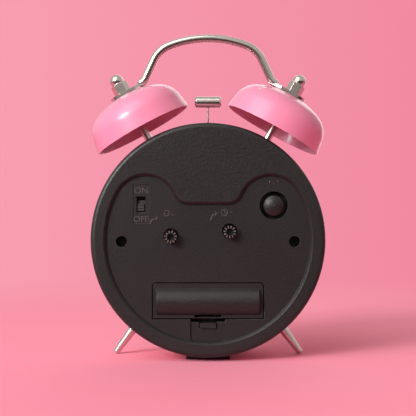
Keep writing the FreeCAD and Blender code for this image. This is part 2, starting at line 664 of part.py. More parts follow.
node("back_cover", put(cover))

screws = []
for sign, word in (("", "right"), ("-", "left")):
    screws.append(cut("CoverScrewCut_" + word, fuse("CoverScrew_" + word, [
        rod("CoverShank_" + word, "screw_radius", "boss_end - 7", "boss_end + 3.5", sign + "screw_x",
            "screw_v"),
        rod("CoverHead_" + word, "screw_well - 0.2", "boss_end + 3", "boss_end + 4.6", sign + "screw_x",
            "screw_v")]), [
        box("CoverCrossA_" + word, sign + "screw_x - 1.5", sign + "screw_x + 1.5",
            "boss_end + 3.9", "boss_end + 5", "screw_v - 0.3", "screw_v + 0.3"),
        box("CoverCrossB_" + word, sign + "screw_x - 0.3", sign + "screw_x + 0.3",
            "boss_end + 3.9", "boss_end + 5", "screw_v - 1.5", "screw_v + 1.5")]))
node("cover_screws", group("CoverScrews", screws))

# Battery, contacts and door
battery = fuse("Battery", [
    rod("Cell", "battery_radius", "-cell_half", "cell_half", "battery_y", "battery_v", "x"),
    rod("CellNub", "2.7", "cell_half - 0.5", "cell_half + nub_length", "battery_y", "battery_v", "x")])
node("battery", battery)


def folded(name, corners, low, high):
    """A bent sheet strip: the corner points are (x, y) texts and the strip stands along Z."""
    body = new_body(name)
    strip = body.newObject("PartDesign::Pad", name + "_strip")
    strip.Profile = sketch(body, name + "_outline", "XY_Plane", low, [loop(corners)])
    bind(strip, "Length", "(" + high + ") - (" + low + ")")
    return put(body)


node("contact_positive", folded("ContactPositive", [
    ("bay_half", "battery_y - 5.5"), ("bay_half", "strip_end"), ("bay_half - 0.3", "strip_end"),
    ("bay_half - 0.3", "battery_y - 2.3"), ("cell_half + nub_length + 0.3", "battery_y"),
    ("cell_half + nub_length + 0.3", "battery_y + 2.6"), ("cell_half + nub_length", "battery_y + 2.6"),
    ("cell_half + nub_length", "battery_y - 0.2"), ("bay_half - 0.3", "battery_y - 3.1"),
    ("bay_half - 0.3", "battery_y - 5.5")], "battery_v - 2.5", "battery_v + 2.5"))
node("contact_negative", folded("ContactNegative", [
    ("-bay_half", "battery_y - 5.5"), ("-bay_half + 0.3", "battery_y - 5.5"),
    ("-bay_half + 0.3", "battery_y - 4.1"), ("-cell_half", "battery_y - 0.8"),
    ("-cell_half", "battery_y + 0.8"), ("-bay_half + 1", "strip_end"),
    ("-bay_half + 0.7", "strip_end - 0.2"), ("-cell_half - 0.3", "battery_y + 0.7"),
    ("-cell_half - 0.3", "battery_y - 0.7"), ("-bay_half + 0.3", "battery_y - 3.5"),
    ("-bay_half + 0.3", "strip_end"), ("-bay_half", "strip_end")],
    "battery_v - 2.5", "battery_v + 2.5"))

bulge = turned("DoorBulge", [
    ("0", "-bulge_half"), ("bulge_radius - 0.5", "-bulge_half"), ("bulge_radius", "-bulge_half + 0.5"),
    ("bulge_radius", "bulge_half - 0.5"), ("bulge_radius - 0.5", "bulge_half"), ("0", "bulge_half")],
        way="z")
put(bulge, "0", "battery_y", "battery_v", turn=(0, 1, 0), angle="90")
door_plate = new_body("DoorPlate")
pad(door_plate, "DoorSheet", [loop([
    ("door_half", "door_low"), ("door_half", "door_high - door_corner"),
    ("door_half - door_corner", "door_high"), ("-door_half + door_corner", "door_high"),
    ("-door_half", "door_high - door_corner"), ("-door_half", "door_low")],
    {1: "door_corner", 3: "door_corner"})],
    "door_inside", "panel_face")
door_solid = fuse("DoorSolid", [
    put(door_plate),
    common("BulgeOutside", [bulge, box(
        "BulgeKeep", "-door_half", "door_half", "door_inside", "rim_face + 3", "door_low", "door_high")]),
    box("TabRight", "tab_x - tab_half", "tab_x + tab_half", "door_inside", "door_inside + 0.8",
        "door_high - 0.5", "door_high + tab_reach"),
    box("TabLeft", "-tab_x - tab_half", "-tab_x + tab_half", "door_inside", "door_inside + 0.8",
        "door_high - 0.5", "door_high + tab_reach")])
door_open = cut("DoorOpen", door_solid, [
    rod("BulgeRoom", "bulge_radius - bulge_wall", "-bulge_half + bulge_wall", "bulge_half - bulge_wall",
        "battery_y", "battery_v", "x"),
    box("LatchNotch", "-6.7", "6.7", "door_inside - 1", "panel_face + 0.2", "door_low - 1",
        "door_low + 2.5")])
door = fuse("BatteryDoor", [
    door_open,
    box("LatchBar", "-7.9", "7.9", "door_inside - 0.9", "door_inside + 0.3", "door_low - 0.3",
        "door_low + 0.6"),
    box("LatchLegIn", "-latch_half", "latch_half", "bay_floor + 5.4", "door_inside",
        "door_low - 0.3", "door_low + 0.6"),
    box("LatchBend", "-latch_half", "latch_half", "bay_floor + 5.4", "bay_floor + 6.2", "door_low - 3.5",
        "door_low + 0.6"),
    box("LatchLegOut", "-latch_half", "latch_half", "bay_floor + 5.4", "panel_face - 0.5",
        "door_low - 3.5", "door_low - 2.7"),
    box("LatchThumb", "-latch_half - 0.6", "latch_half + 0.6", "panel_face - 0.6", "panel_face + 0.2",
        "door_low - 5.1", "door_low - 2.3")])
node("battery_door", door)

# Alarm switch and light button
switch_room = box("SwitchRoom", "switch_x - 2.9", "switch_x + 2.9", "panel_inside - 3.7",
    "panel_inside + 1",
                  "switch_v - 5.1", "switch_v + 8")
node("switch_body", cut("SwitchBody", box(
    "SwitchBlock", "switch_x - 4", "switch_x + 4", "panel_inside - 7", "panel_inside",
    "switch_v - 6.5", "switch_v + 9.5"), [switch_room]))
slider = cut("SwitchSlider", fuse("SliderSolid", [
    box("SliderBase", "switch_x - 2.85", "switch_x + 2.85", "panel_inside - 3.65", "panel_inside - 0.4",
        "switch_v - 3.5", "switch_v + 3.5"),
    box("SliderThumb", "switch_x - slider_width/2", "switch_x + slider_width/2", "panel_inside - 0.5",
        "slider_face",
        "switch_v - slider_height/2", "switch_v + slider_height/2")]), [
    box("SliderGrooveLow", "switch_x - 2", "switch_x + 2", "slider_face - 0.3", "slider_face + 1",
        "switch_v - 1", "switch_v - 0.5"),
    box("SliderGrooveHigh", "switch_x - 2", "switch_x + 2", "slider_face - 0.3", "slider_face + 1",
        "switch_v + 0.5", "switch_v + 1")])
node("switch_slider", slider)

button = turned("LightButton", [
    ("0", "dome_low"), ("dome_radius", "dome_low"), ("dome_radius", "dome_edge"), ("0", "dome_top")],
    {2: "(dome_radius^2 + (dome_top - dome_edge)^2)/(2*(dome_top - dome_edge))"})
put(button, "button_x", "0", "button_v")
node("light_button", fuse("LightButtonAll", [
    button,
    rod("ButtonStem", "button_stem", "well_floor - 4.5", "dome_low + 1", "button_x", "button_v"),
    cone("ButtonCollar", "button_stem + 0.2", "button_stem + 1", "well_floor - 2.5",
        "well_floor - well_wall - 0.15",
         "button_x", "button_v")]))
leaf_wall = "(button_x - well_radius - well_wall)"
node("light_contact_leaf", folded("ContactLeaf", [
    (leaf_wall, "well_floor + 2"), (leaf_wall + " - 0.4", "well_floor + 2"),
    (leaf_wall + " - 0.4", "well_floor - 6.55"), ("button_x + 2.5", "well_floor - 6.55"),
    ("button_x + 2.5", "well_floor - 6.15"), (leaf_wall, "well_floor - 6.15")],
    "button_v - 2", "button_v + 2"))

# Bells, posts, nuts, handle and feet
for side, word in ((1, "right"), (-1, "left")):
    hole = "(stud_radius + 0.1)"
    top = "(bell_mouth + bell_drop)"
    bell = turned("Bell_" + word, [
        ("bell_radius - bell_wall/cos(bell_flare)", "bell_mouth"), ("bell_radius", "bell_mouth"),
        ("shoulder_x + shoulder_arc*cos(bell_flare)",
            "bell_mouth + shoulder_z + shoulder_arc*sin(bell_flare)"),
        ("shoulder_x*crown_arc/(crown_arc - shoulder_arc)",
         top + " + (shoulder_z - bell_drop)*crown_arc/(crown_arc - shoulder_arc)"),
        (hole, top + " + sqrt(crown_arc^2 - " + hole + "^2)"),
        (hole, top + " + sqrt((crown_arc - bell_wall)^2 - " + hole + "^2)"),
        ("shoulder_x*(crown_arc - bell_wall)/(crown_arc - shoulder_arc)",
         top + " + (shoulder_z - bell_drop)*(crown_arc - bell_wall)/(crown_arc - shoulder_arc)"),
        ("shoulder_x + (shoulder_arc - bell_wall)*cos(bell_flare)",
         "bell_mouth + shoulder_z + (shoulder_arc - bell_wall)*sin(bell_flare)")],
        {2: "shoulder_arc", 3: "crown_arc", 5: "-(crown_arc - bell_wall)",
            6: "-(shoulder_arc - bell_wall)"}, way="z")
    node("bell_" + word, lean_bell(bell, side))

    shoulder = "(bell_mouth + bell_height - bell_wall - 0.06)"
    post = turned("Post_" + word, [
        ("0", "stud_end"), ("stud_radius", "stud_end"), ("stud_radius", "post_seat"),
        ("post_radius", "post_seat"), ("post_radius", shoulder), ("stud_radius", shoulder),
        ("stud_radius", "cap_low + 3"), ("0", "cap_low + 3")], way="z")
    node("bell_post_" + word, lean_bell(post, side))

    hexagon = doc.addObject("Part::Prism", "CapHex_" + word)
    hexagon.Polygon = 6
    bind(hexagon, "Circumradius", "cap_corner")
    bind(hexagon, "Height", "cap_high")
    lean_bell(hexagon, side)
    trim = turned("CapTrim_" + word, [
        ("0", "cap_low"), ("cap_corner - 0.4", "cap_low"), ("cap_corner + 0.1", "cap_low + 0.5"),
        ("cap_corner + 0.1", "cap_high - 0.5"), ("cap_corner - 0.4", "cap_high"), ("0", "cap_high")],
            way="z")
    dome = doc.addObject("Part::Sphere", "CapBall_" + word)
    bind(dome, "Radius", "ball_radius")
    x, v = along("bell_lean", "bell_offset", side, "ball_at")
    put(dome, x, "0", v, turn=(0, side, 0), angle="bell_lean")
    bore = doc.addObject("Part::Cylinder", "CapBore_" + word)
    bind(bore, "Radius", "stud_radius + running_gap")
    bind(bore, "Height", "cap_low + 3.2")
    node("cap_nut_" + word, cut("CapNut_" + word, fuse("CapSolid_" + word, [
        common("CapHexTrim_" + word, [hexagon, lean_bell(trim, side)]), dome]), [lean_bell(bore, side)]))

    cone_foot = turned("FootCone_" + word, [
        ("0", "drum_radius - 1.5"), ("foot_wide", "drum_radius - 1.5"), ("foot_narrow", "foot_end"), ("0",
            "foot_end")],
        way="z")
    stud = doc.addObject("Part::Cylinder", "FootStud_" + word)
    bind(stud, "Radius", "stud_radius")
    bind(stud, "Height", "drum_radius + 2 - stud_end")
    lean_foot(stud, side)
    x, v = along("foot_lean", "foot_offset", side, "stud_end", down=True)
    bind(stud, "Placement.Base.x", x)
    bind(stud, "Placement.Base.z", "axis_height + " + v)
    trimmed = cut("FootTrim_" + word, lean_foot(cone_foot, side), [
        rod("FootDrum_" + word, "drum_radius + seat_gap", "foot_y - 10", "foot_y + 10"),
        box("FootFloor_" + word, "-90", "90", "foot_y - 10", "foot_y + 10", "-axis_height - 20",
            "-axis_height")])
    node("foot_" + word, fuse("Foot_" + word, [trimmed, stud]))

pad_block = box("PadRubber", "-pad_half", "pad_half", "pad_front", "pad_back",
    "-axis_height", "-drum_radius + 2")
node("rest_pad", fuse("RestPad", [
    cut("PadBlock", pad_block, [
        rod("PadDrum", "drum_radius + seat_gap", "pad_front - 1", "pad_back + 1")]),
    rod("PadPeg", "pad_peg", "-axis_height + 0.5", "-drum_bore + 1.4",
        "0", "(pad_front + pad_back)/2", "z")]))

nuts = []
for side, word in ((1, "right"), (-1, "left")):
    for kind, lean in (("Post", lean_bell), ("Foot", lean_foot)):
        nut = doc.addObject("Part::Prism", kind + "NutHex_" + word)
        nut.Polygon = 6
        bind(nut, "Circumradius", "nut_corner")
        bind(nut, "Height", "nut_depth")
        lean(nut, side)
        if kind == "Post":
            x, v = along("bell_lean", "bell_offset", side, "nut_face - nut_depth")
        else:
            x, v = along("foot_lean", "foot_offset", side, "nut_face - nut_depth - 0.35", down=True)
        bind(nut, "Placement.Base.x", x)
        bind(nut, "Placement.Base.z", "axis_height + " + v)
        hole = doc.addObject("Part::Cylinder", kind + "NutBore_" + word)
        bind(hole, "Radius", "stud_radius + running_gap")
        bind(hole, "Height", "drum_radius")
        nuts.append(cut(kind + "Nut_" + word, nut, [lean(hole, side)]))
node("stud_nuts", group("StudNuts", nuts))

handle = new_body("CarryHandle")
spine = sketch(handle, "HandleSpine", "XZ_Plane", "0", [path([
    ("0", "apex_v"), ("arch_x", "arch_v"), ("leg_x", "leg_v"), ("heel_x", "heel_v"), ("toe_x", "toe_v")],
    {0: "-arch_radius", 1: "-corner_radius", 3: "heel_radius"})])
round_end = sketch(handle, "HandleRound", "YZ_Plane", "0", [ring("0", "apex_v", "rod_radius")])
pipe = handle.newObject("PartDesign::AdditivePipe", "HandlePipe")
pipe.Profile = round_end
pipe.Spine = (spine, ["Edge1", "Edge2", "Edge3", "Edge4"])
other = handle.newObject("PartDesign::Mirrored", "HandleOther")
other.Originals = [pipe]
middle_plane = [part for part in handle.Origin.OriginFeatures if part.Role == "YZ_Plane"][0]
other.MirrorPlane = (middle_plane, [""])
handle.Tip = other
put(handle)
tabs = []
for side, word in ((1, "right"), (-1, "left")):
    # In the tab's own frame X runs along it, outwards, and Z is the bell's axis.
    reach = ("((toe_x - bell_offset*cos(bell_lean))*cos(bell_lean)"
             " - (toe_v + bell_offset*sin(bell_lean))*sin(bell_lean))")
    inner = "(" + reach + " - 3)"
    strip = new_body("HandleTab_" + word)
    sheet = strip.newObject("PartDesign::Pad", "TabSheet_" + word)
    sign = "" if side > 0 else "-"
    edge = "(tab_width/2)"
    points = [(inner, "-1"), (reach, "-1.9"), (reach + " + 4", "-" + edge), ("3", "-" + edge),
        ("3 + " + edge, "0"),
              ("3", edge), (reach + " + 4", edge), (reach, "1.9"), (inner, "1")]
    arcs = {3: "tab_width/2", 4: "tab_width/2"}
    if side < 0:
        points = [("-(" + x + ")", y) for x, y in points]
        arcs = {3: "-(tab_width/2)", 4: "-(tab_width/2)"}
    loops = [loop(points, arcs), ring("0", "0", "stud_radius + 0.1")]
    sheet.Profile = sketch(strip, "TabOutline_" + word, "XY_Plane", "tab_low", loops)
    bind(sheet, "Length", "tab_wall")
    tabs.append(lean_bell(strip, side))
    # The round rod flattens into the tab over a short cone.
    squash = doc.addObject("Part::Sphere", "HandleToe_" + word)
    bind(squash, "Radius", "rod_radius")
    put(squash, sign + "toe_x", "0", "toe_v")
    tabs.append(squash)
node("carry_handle", fuse("CarryHandleAll", [handle] + tabs))


# Gears
def spot(x, v):
    return (number(x), number(v))


def toward(here, there):
    return math.degrees(math.atan2(there[1] - here[1], there[0] - here[0]))


def meshed(phase, teeth, here, there, partner):
    """Angle of one tooth of the partner gear so that it falls into a gap."""
    line = toward(here, there)
    return line + 180 - ((phase - line) * teeth + 180) / partner


def gear(name, teeth, module, middle, front, back, phase, bore, wide=0.42):
    """Spur gear with straight flanks, drawn in code from the sheet's module."""
    unit = number(module)
    pitch = unit * teeth / 2
    tip = pitch + 0.85 * unit
    root = pitch - 1.2 * unit
    points = []
    for tooth in range(teeth):
        heading = phase + 360 * tooth / teeth
        for radius, share in ((root, -wide - 0.14), (tip, -wide + 0.2), (tip, wide - 0.2), (root,
            wide + 0.14)):
            angle = math.radians(heading + share * 180 * pitch / radius / teeth)
            points.append(Vector(radius * math.cos(angle), 0, radius * math.sin(angle)))
    points.append(points[0])
    face = Part.Face(Part.makePolygon(points))
    solid = face.extrude(Vector(0, number(back) - number(front), 0))
    reach = number(back) - number(front) + 2
    if number(bore) > 0:
        solid = solid.cut(Part.makeCylinder(number(bore), reach, Vector(0, -1, 0), Vector(0, 1, 0)))
    item = doc.addObject("Part::Feature", name)
    item.Shape = solid
    item.Placement = Placement(Vector(middle[0], number(front), number("axis_height") + middle[1]),
        Rotation())
    return item


centre_spot = (0.0, 0.0)
alarm_spot = spot("alarm_x", "alarm_v")
time_spot = spot("time_x", "time_v")
third_spot = spot("third_x", "third_v")
step_spot = spot("step_x", "step_v")
rotor_spot = spot("rotor_x", "rotor_v")

# Movement box
shell_front = cut("MovementFrontCup", box(
    "MovementFrontBlock", "-box_half", "box_half", "box_front", "mid_front + 0.4", "-box_half",
        "box_half"), [
    box("MovementFrontRoom", "-box_half + box_wall", "box_half - box_wall", "box_front + 1.5",
        "mid_front + 1",
        "-box_half + box_wall", "box_half - box_wall")])
corners = []
for count, (across, up) in enumerate(((1, 1), (1, -1), (-1, 1), (-1, -1))):
    left = "box_half - 3" if across > 0 else "-box_half + 0.5"
    low = "box_half - 3" if up > 0 else "-box_half + 0.5"
    corners.append(box("MovementLedge" + str(count), left, left + " + 2.5", "box_front + 1", "mid_front",
                       low, low + " + 2.5"))
node("movement_front_shell", cut("MovementFront", fuse("MovementFrontSolid", [shell_front] + corners + [
    rod("MovementBush", "bush_radius", "dial_back", "box_front + 1.5")]), [
    rod("BushBore", "alarm_tube + running_gap", "dial_back - 1", "box_front + 3"),
    rod("AlarmFrontPivot", "pivot_radius + 0.1 + running_gap", "box_front + 0.4", "box_front + 3",
        "alarm_x", "alarm_v")]))

node("movement_mid_plate", cut("MovementMid", box(
    "MidPlate", "-box_half + box_wall + 0.1", "box_half - box_wall - 0.1", "mid_front", "mid_back",
    "-box_half + box_wall + 0.1", "box_half - box_wall - 0.1"), [
    rod("MidCentre", "minute_tube + running_gap", "mid_front - 1", "mid_back + 1"),
    rod("MidAlarm", "arbor_radius + running_gap", "mid_front - 1", "mid_back + 1", "alarm_x", "alarm_v"),
    rod("MidTime", "arbor_radius + running_gap", "mid_front - 1", "mid_back + 1", "time_x", "time_v"),
    rod("MidThird", "pivot_radius + running_gap", "mid_front - 1", "mid_back + 1", "third_x", "third_v"),
    rod("MidStep", "pivot_radius + running_gap", "mid_front - 1", "mid_back + 1", "step_x", "step_v"),
    rod("MidRotor", "second_arbor + running_gap", "mid_front - 1", "mid_back + 1", "rotor_x", "rotor_v"),
    box("MidWindow", "rotor_x - 8", "rotor_x + 5.9", "mid_front - 1", "mid_back + 1",
        "coil_v - coil_half - 0.2", "coil_v + coil_half + 0.2")]))

pivots = []
for word, x, v, radius, stop in (
        ("Centre", "0", "0", "second_arbor", "rear_inside + 1"), ("Third", "third_x", "third_v",
            "pivot_radius", "rear_inside + 1"),
        ("Step", "step_x", "step_v", "pivot_radius", "rear_inside + 1"),
        ("Rotor", "rotor_x", "rotor_v", "second_arbor", "rear_inside + 1"),
        ("Alarm", "alarm_x", "alarm_v", "arbor_radius", "rear_back + 1"),
        ("Time", "time_x", "time_v", "arbor_radius", "rear_back + 1")):
    pivots.append(rod("Rear" + word, radius + " + running_gap", "rear_inside - 1", stop, x, v))
node("movement_rear_shell", cut("MovementRear", box(
    "MovementRearBlock", "-box_half", "box_half", "mid_front + 0.4", "rear_back", "-box_half",
        "box_half"), [
    box("MovementRearRoom", "-box_half + box_wall", "box_half - box_wall", "mid_front - 1", "rear_inside",
        "-box_half + box_wall", "box_half - box_wall")] + pivots))

node("circuit_board", box("CircuitBoard", "-box_half + 3", "9", "mid_back", "mid_back + 1",
    "-box_half + 2", "-12.6"))
node("quartz_crystal", rod("QuartzCrystal", "1", "-14", "-7.5", "mid_back + 2", "-21", "x"))
stator = cut("Stator", fuse("StatorSolid", [
    box("StatorPole", "rotor_x - 8.6", "rotor_x + 9.4", "mid_back", "mid_back + 1", "rotor_v - 3.6",
        "rotor_v + 3.6"),
    box("StatorLegLow", "rotor_x - 11", "rotor_x - 8.5", "mid_back", "mid_back + 1",
        "rotor_v - 3.6", "coil_v + 2"),
    box("StatorLegHigh", "rotor_x + 6.9", "rotor_x + 9.4", "mid_back", "mid_back + 1", "rotor_v - 3.6",
        "coil_v + 2")]), [
    rod("StatorHole", "3.1", "mid_back - 1", "mid_back + 2", "rotor_x", "rotor_v")])
node("stepper_stator", stator)
node("stepper_coil", fuse("Coil", [
    rod("CoilWinding", "2.6", "rotor_x - 7.2", "rotor_x + 5.6", "mid_back + 1.4", "coil_v", "x"),
    box("CoilFlangeLow", "rotor_x - 7.8", "rotor_x - 7.2", "mid_back - 1", "mid_back + 4",
        "coil_v - coil_half", "coil_v + coil_half"),
    box("CoilFlangeHigh", "rotor_x + 5.1", "rotor_x + 5.7", "mid_back - 1", "mid_back + 4",
        "coil_v - coil_half", "coil_v + coil_half"),
    box("CoilCore", "rotor_x - 11", "rotor_x + 9.4", "mid_back + 1", "mid_back + 2",
        "coil_v - 1.4", "coil_v + 1.4")]))

# Wheels on the hand shafts
centre_phase = 0.0
third_pinion_phase = meshed(centre_phase, 48, centre_spot, third_spot, 6)
third_wheel_phase = 0.0
second_pinion_phase = meshed(third_wheel_phase, 45, third_spot, centre_spot, 6)
second_wheel_phase = 0.0
step_pinion_phase = meshed(second_wheel_phase, 30, centre_spot, step_spot, 6)
step_wheel_phase = 0.0
rotor_phase = meshed(step_wheel_phase, 36, step_spot, rotor_spot, 6)
cannon_phase = 0.0
minute_wheel_phase = meshed(cannon_phase, 12, centre_spot, time_spot, 36)
minute_pinion_phase = 0.0
hour_phase = meshed(minute_pinion_phase, 10, time_spot, centre_spot, 40)
alarm_wheel_phase = 0.0
alarm_pinion_phase = meshed(alarm_wheel_phase, 48, centre_spot, alarm_spot, 12)

node("seconds_wheel", fuse("SecondsWheel", [
    gear("SecondGear", 30, "step_module", centre_spot, "rear_inside - 1.4", "rear_inside - 0.6",
        second_wheel_phase, "0"),
    gear("SecondPinion", 6, "third_module", centre_spot, "0.9", "rear_inside - 1.3", second_pinion_phase,
        "0", 0.36),
    rod("SecondArbor", "second_arbor", "-17.4", "rear_inside + 0.7")]))
node("third_wheel", fuse("ThirdWheel", [
    gear("ThirdGear", 45, "third_module", third_spot, "1", "1.8", third_wheel_phase, "0"),
    gear("ThirdPinion", 6, "centre_module", third_spot, "-1.6", "1.1", third_pinion_phase, "0", 0.36),
    rod("ThirdArbor", "pivot_radius", "mid_front + 0.2", "rear_inside + 0.6", "third_x", "third_v")]))
node("step_wheel", fuse("StepWheel", [
    gear("StepGear", 36, "rotor_module", step_spot, "0", "0.8", step_wheel_phase, "0"),
    gear("StepPinion", 6, "step_module", step_spot, "0.7", "rear_inside - 0.5", step_pinion_phase, "0",
        0.36),
    rod("StepArbor", "pivot_radius", "mid_front + 0.2", "rear_inside + 0.6", "step_x", "step_v")]))
node("rotor", fuse("Rotor", [
    gear("RotorPinion", 6, "rotor_module", rotor_spot, "-0.1", "0.9", rotor_phase, "0", 0.36),
    rod("RotorMagnet", "2.6", "mid_back + 0.2", "-1.6", "rotor_x", "rotor_v"),
    rod("RotorArbor", "second_arbor", "mid_front + 0.2", "rear_inside + 0.6", "rotor_x", "rotor_v")]))
node("centre_wheel", cut("CentreWheel", fuse("CentreSolid", [
    gear("CentreGear", 48, "centre_module", centre_spot, "-1.4", "-0.6", centre_phase, "0"),
    rod("MinuteTube", "minute_tube", "-16", "-0.4")]), [
    rod("MinuteBore", "second_arbor + running_gap", "-18", "1")]))
node("cannon_pinion", gear("CannonPinion", 12, "motion_module", centre_spot, "-6", "-4.6", cannon_phase,
                           "minute_tube + seat_gap", 0.4))
node("hour_wheel", cut("HourWheel", fuse("HourSolid", [
    gear("HourGear", 40, "hour_module", centre_spot, "-7.2", "-6.2", hour_phase, "0"),
    rod("HourTube", "hour_tube", "-14.8", "-6.2")]), [
    rod("HourBore", "minute_tube + running_gap", "-18", "1")]))
node("alarm_wheel", cut("AlarmWheel", fuse("AlarmSolid", [
    gear("AlarmGear", 48, "alarm_module", centre_spot, "-8.4", "-7.4", alarm_wheel_phase, "0"),
    rod("AlarmTube", "alarm_tube", "-13.6", "-7.4")]), [
    rod("AlarmBore", "hour_tube + running_gap", "-18", "1")]))
node("minute_wheel", fuse("MinuteWheel", [
    gear("MinuteGear", 36, "motion_module", time_spot, "-6", "-4.8", minute_wheel_phase, "0"),
    gear("MinutePinion", 10, "hour_module", time_spot, "-7.3", "-5.9", minute_pinion_phase, "0", 0.4),
    rod("MinuteArbor", "arbor_radius", "-7.3", "arbor_end", "time_x", "time_v")]))
node("alarm_arbor", fuse("AlarmArborAll", [
    gear("AlarmPinion", 12, "alarm_module", alarm_spot, "-8.5", "-7.3", alarm_pinion_phase, "0", 0.4),
    rod("AlarmArbor", "arbor_radius", "-8.5", "arbor_end", "alarm_x", "alarm_v"),
    rod("AlarmPivot", "pivot_radius + 0.1", "box_front + 0.6", "-8.4", "alarm_x", "alarm_v")]))

for word, x, v in (("time_set_knob", "time_x", "time_v"), ("alarm_set_knob", "alarm_x", "alarm_v")):
    ribs = []
    for count in range(11):
        heading = 360 * count / 11 + 8
        lean = math.radians(heading)
        rib = doc.addObject("Part::Box", word + "_rib" + str(count))
        bind(rib, "Length", "knob_radius")
        bind(rib, "Width", "knob_end - knob_start")
        bind(rib, "Height", "rib_width")
        across = x + " + rib_width/2*" + format(math.sin(lean), ".6f")
        up = v + " - rib_width/2*" + format(math.cos(lean), ".6f")
        ribs.append(put(rib, across, "knob_start", up, turn=(0, -1, 0), angle=format(heading, ".4f")))
    node(word, cut(word + "_cut", fuse(word + "_solid", ribs + [
        rod(word + "_head", "core_radius", "knob_start", "knob_end - 0.3", x, v),
        rod(word + "_stem", "stem_radius", "arbor_end - 6", "knob_start + 0.1", x, v)]), [
        rod(word + "_bore", "arbor_radius + seat_gap", "arbor_end - 7", "arbor_end + 0.5", x, v),
        rod(word + "_well", "core_radius - 0.35", "knob_end - 2.2", "knob_end + 1", x, v)]))


# Hands
def hand(label, outline, front, back, hub, bore, heading):
    """Flat pointer: the outline is (across, along) and heading is clockwise from 12 on the dial."""
    body = new_body(label + "_blade")
    pad(body, label + "_sheet", [loop(outline)], front, back)
    put(body, turn=(0, 1, 0), angle=str(heading))
    return node(label, cut(label + "_cut", fuse(label + "_solid", [
        body, rod(label + "_hub", hub, front, back)]), [
        rod(label + "_bore", bore, front + " - 1", back + " + 1")]))


hand("second_hand", [("-0.4", "-12"), ("0.4", "-12"), ("0.25", "43"), ("-0.25", "43")],
     "-17.2", "-16.8", "1.8", "second_arbor + seat_gap", 0)
hand("minute_hand", [("-1.3", "-9"), ("1.3", "-9"), ("1.5", "38"), ("0", "42.5"), ("-1.5", "38")],
     "-16", "-15.6", "3", "minute_tube + seat_gap", 60)
hand("hour_hand", [("-1.6", "-8"), ("1.6", "-8"), ("2", "25"), ("0", "30"), ("-2", "25")],
     "-14.8", "-14.4", "3.6", "hour_tube + seat_gap", 305)
hand("alarm_hand", [("-0.7", "-6"), ("0.7", "-6"), ("0.5", "24"), ("-0.5", "24")],
     "-13.6", "-13.2", "3.8", "alarm_tube + seat_gap", 180)

# Bell strike
node("striker_frame", cut("StrikerFrame", box(
    "StrikerPlate", "-plate_screw_x - 3", "plate_screw_x + 3", "plate_front", "plate_back", "28.5", "50"), [
    rod("StrikerCrank", "1.05", "plate_front - 1", "plate_back + 1", "0", "crank_v"),
    rod("StrikerMotor", "pivot_radius + 0.3", "plate_front - 1", "plate_back + 1", "motor_x", "crank_v"),
    rod("StrikerScrewR", "1.05", "plate_front - 1", "plate_back + 1", "plate_screw_x", "plate_screw_v"),
    rod("StrikerScrewL", "1.05", "plate_front - 1", "plate_back + 1", "-plate_screw_x", "plate_screw_v"),
    rod("StrikerPin", "swing_pin + seat_gap", "plate_front - 1", "plate_back + 1", "0", "swing_v")]))
pair = []
for sign, word in (("", "Right"), ("-", "Left")):
    pair.append(fuse("StrikerScrew" + word, [
        rod("StrikerHead" + word, "1.8", "plate_back", "plate_back + 1.1", sign + "plate_screw_x",
            "plate_screw_v"),
        rod("StrikerShank" + word, "0.9", "plate_front - 6", "plate_back + 0.1", sign + "plate_screw_x",
            "plate_screw_v")]))
node("striker_screws", group("StrikerScrews", pair))
node("bell_motor", cut("BellMotor", rod(
    "MotorCan", "motor_radius", "plate_back", "plate_back + 13.8", "motor_x", "crank_v"), [
    rod("MotorBearing", "pivot_radius + running_gap", "plate_back - 1", "plate_back + 3", "motor_x",
        "crank_v")]))
crank_phase = 0.0
crank_spot = spot("0", "crank_v")
motor_spot = spot("motor_x", "crank_v")
motor_phase = meshed(crank_phase, 24, crank_spot, motor_spot, 8)
node("motor_pinion", fuse("MotorPinion", [
    gear("MotorGear", 8, "crank_module", motor_spot, "plate_front - 1.6", "plate_front - 0.2",
        motor_phase, "0", 0.38),
    rod("MotorShaft", "pivot_radius", "plate_front - 1.6", "plate_back + 2.8", "motor_x", "crank_v")]))
node("crank_gear", fuse("CrankGear", [
    gear("CrankTeeth", 24, "crank_module", crank_spot, "plate_front - 1.6", "plate_front - 0.2",
        crank_phase, "0"),
    rod("CrankShaft", "1", "plate_front - 0.3", "plate_back - 0.1", "0", "crank_v"),
    rod("CrankPin", "pin_radius", "-lever_half - 0.4", "plate_front - 1.5", "crank_throw", "crank_v")]))
node("hammer_pivot_pin", fuse("HammerPin", [
    rod("PinShank", "swing_pin", "-lever_half - 0.2", "plate_back", "0", "swing_v"),
    rod("PinShoulder", "1.9", "lever_half + 0.05", "plate_front", "0", "swing_v"),
    rod("PinHead", "1.9", "-lever_half - 0.7", "-lever_half - 0.05", "0", "swing_v")]))
node("hammer_lever", cut("HammerLever", fuse("LeverSolid", [
    box("LeverYoke", "-window_half - 1.4", "window_half + 1.4", "-lever_half", "lever_half",
        "crank_v - window_rise - 1.7", "crank_v + window_rise + 1.7"),
    box("LeverArm", "-1.4", "1.4", "-lever_half", "lever_half", "crank_v + window_rise + 1", "swing_v + 5"),
    rod("LeverHub", "2.5", "-lever_half", "lever_half", "0", "swing_v")]), [
    box("LeverWindow", "-window_half", "window_half", "-lever_half - 1", "lever_half + 1",
        "crank_v - window_rise", "crank_v + window_rise"),
    rod("LeverBore", "swing_pin + running_gap", "-lever_half - 1", "lever_half + 1", "0", "swing_v"),
    rod("LeverWireHole", "wire_radius + seat_gap", "swing_v + 1.8", "swing_v + 6", "0", "0", "z")]))
node("hammer_wire", rod("HammerWire", "wire_radius", "swing_v + 1.8", "head_v", "0", "0", "z"))
head = turned("HammerHead", [
    ("0", "-head_half"), ("head_radius - 0.7", "-head_half"), ("head_radius", "-head_half + 0.7"),
    ("head_radius", "head_half - 0.7"), ("head_radius - 0.7", "head_half"), ("0", "head_half")], way="z")
put(head, "0", "0", "head_v", turn=(0, 1, 0), angle="90")
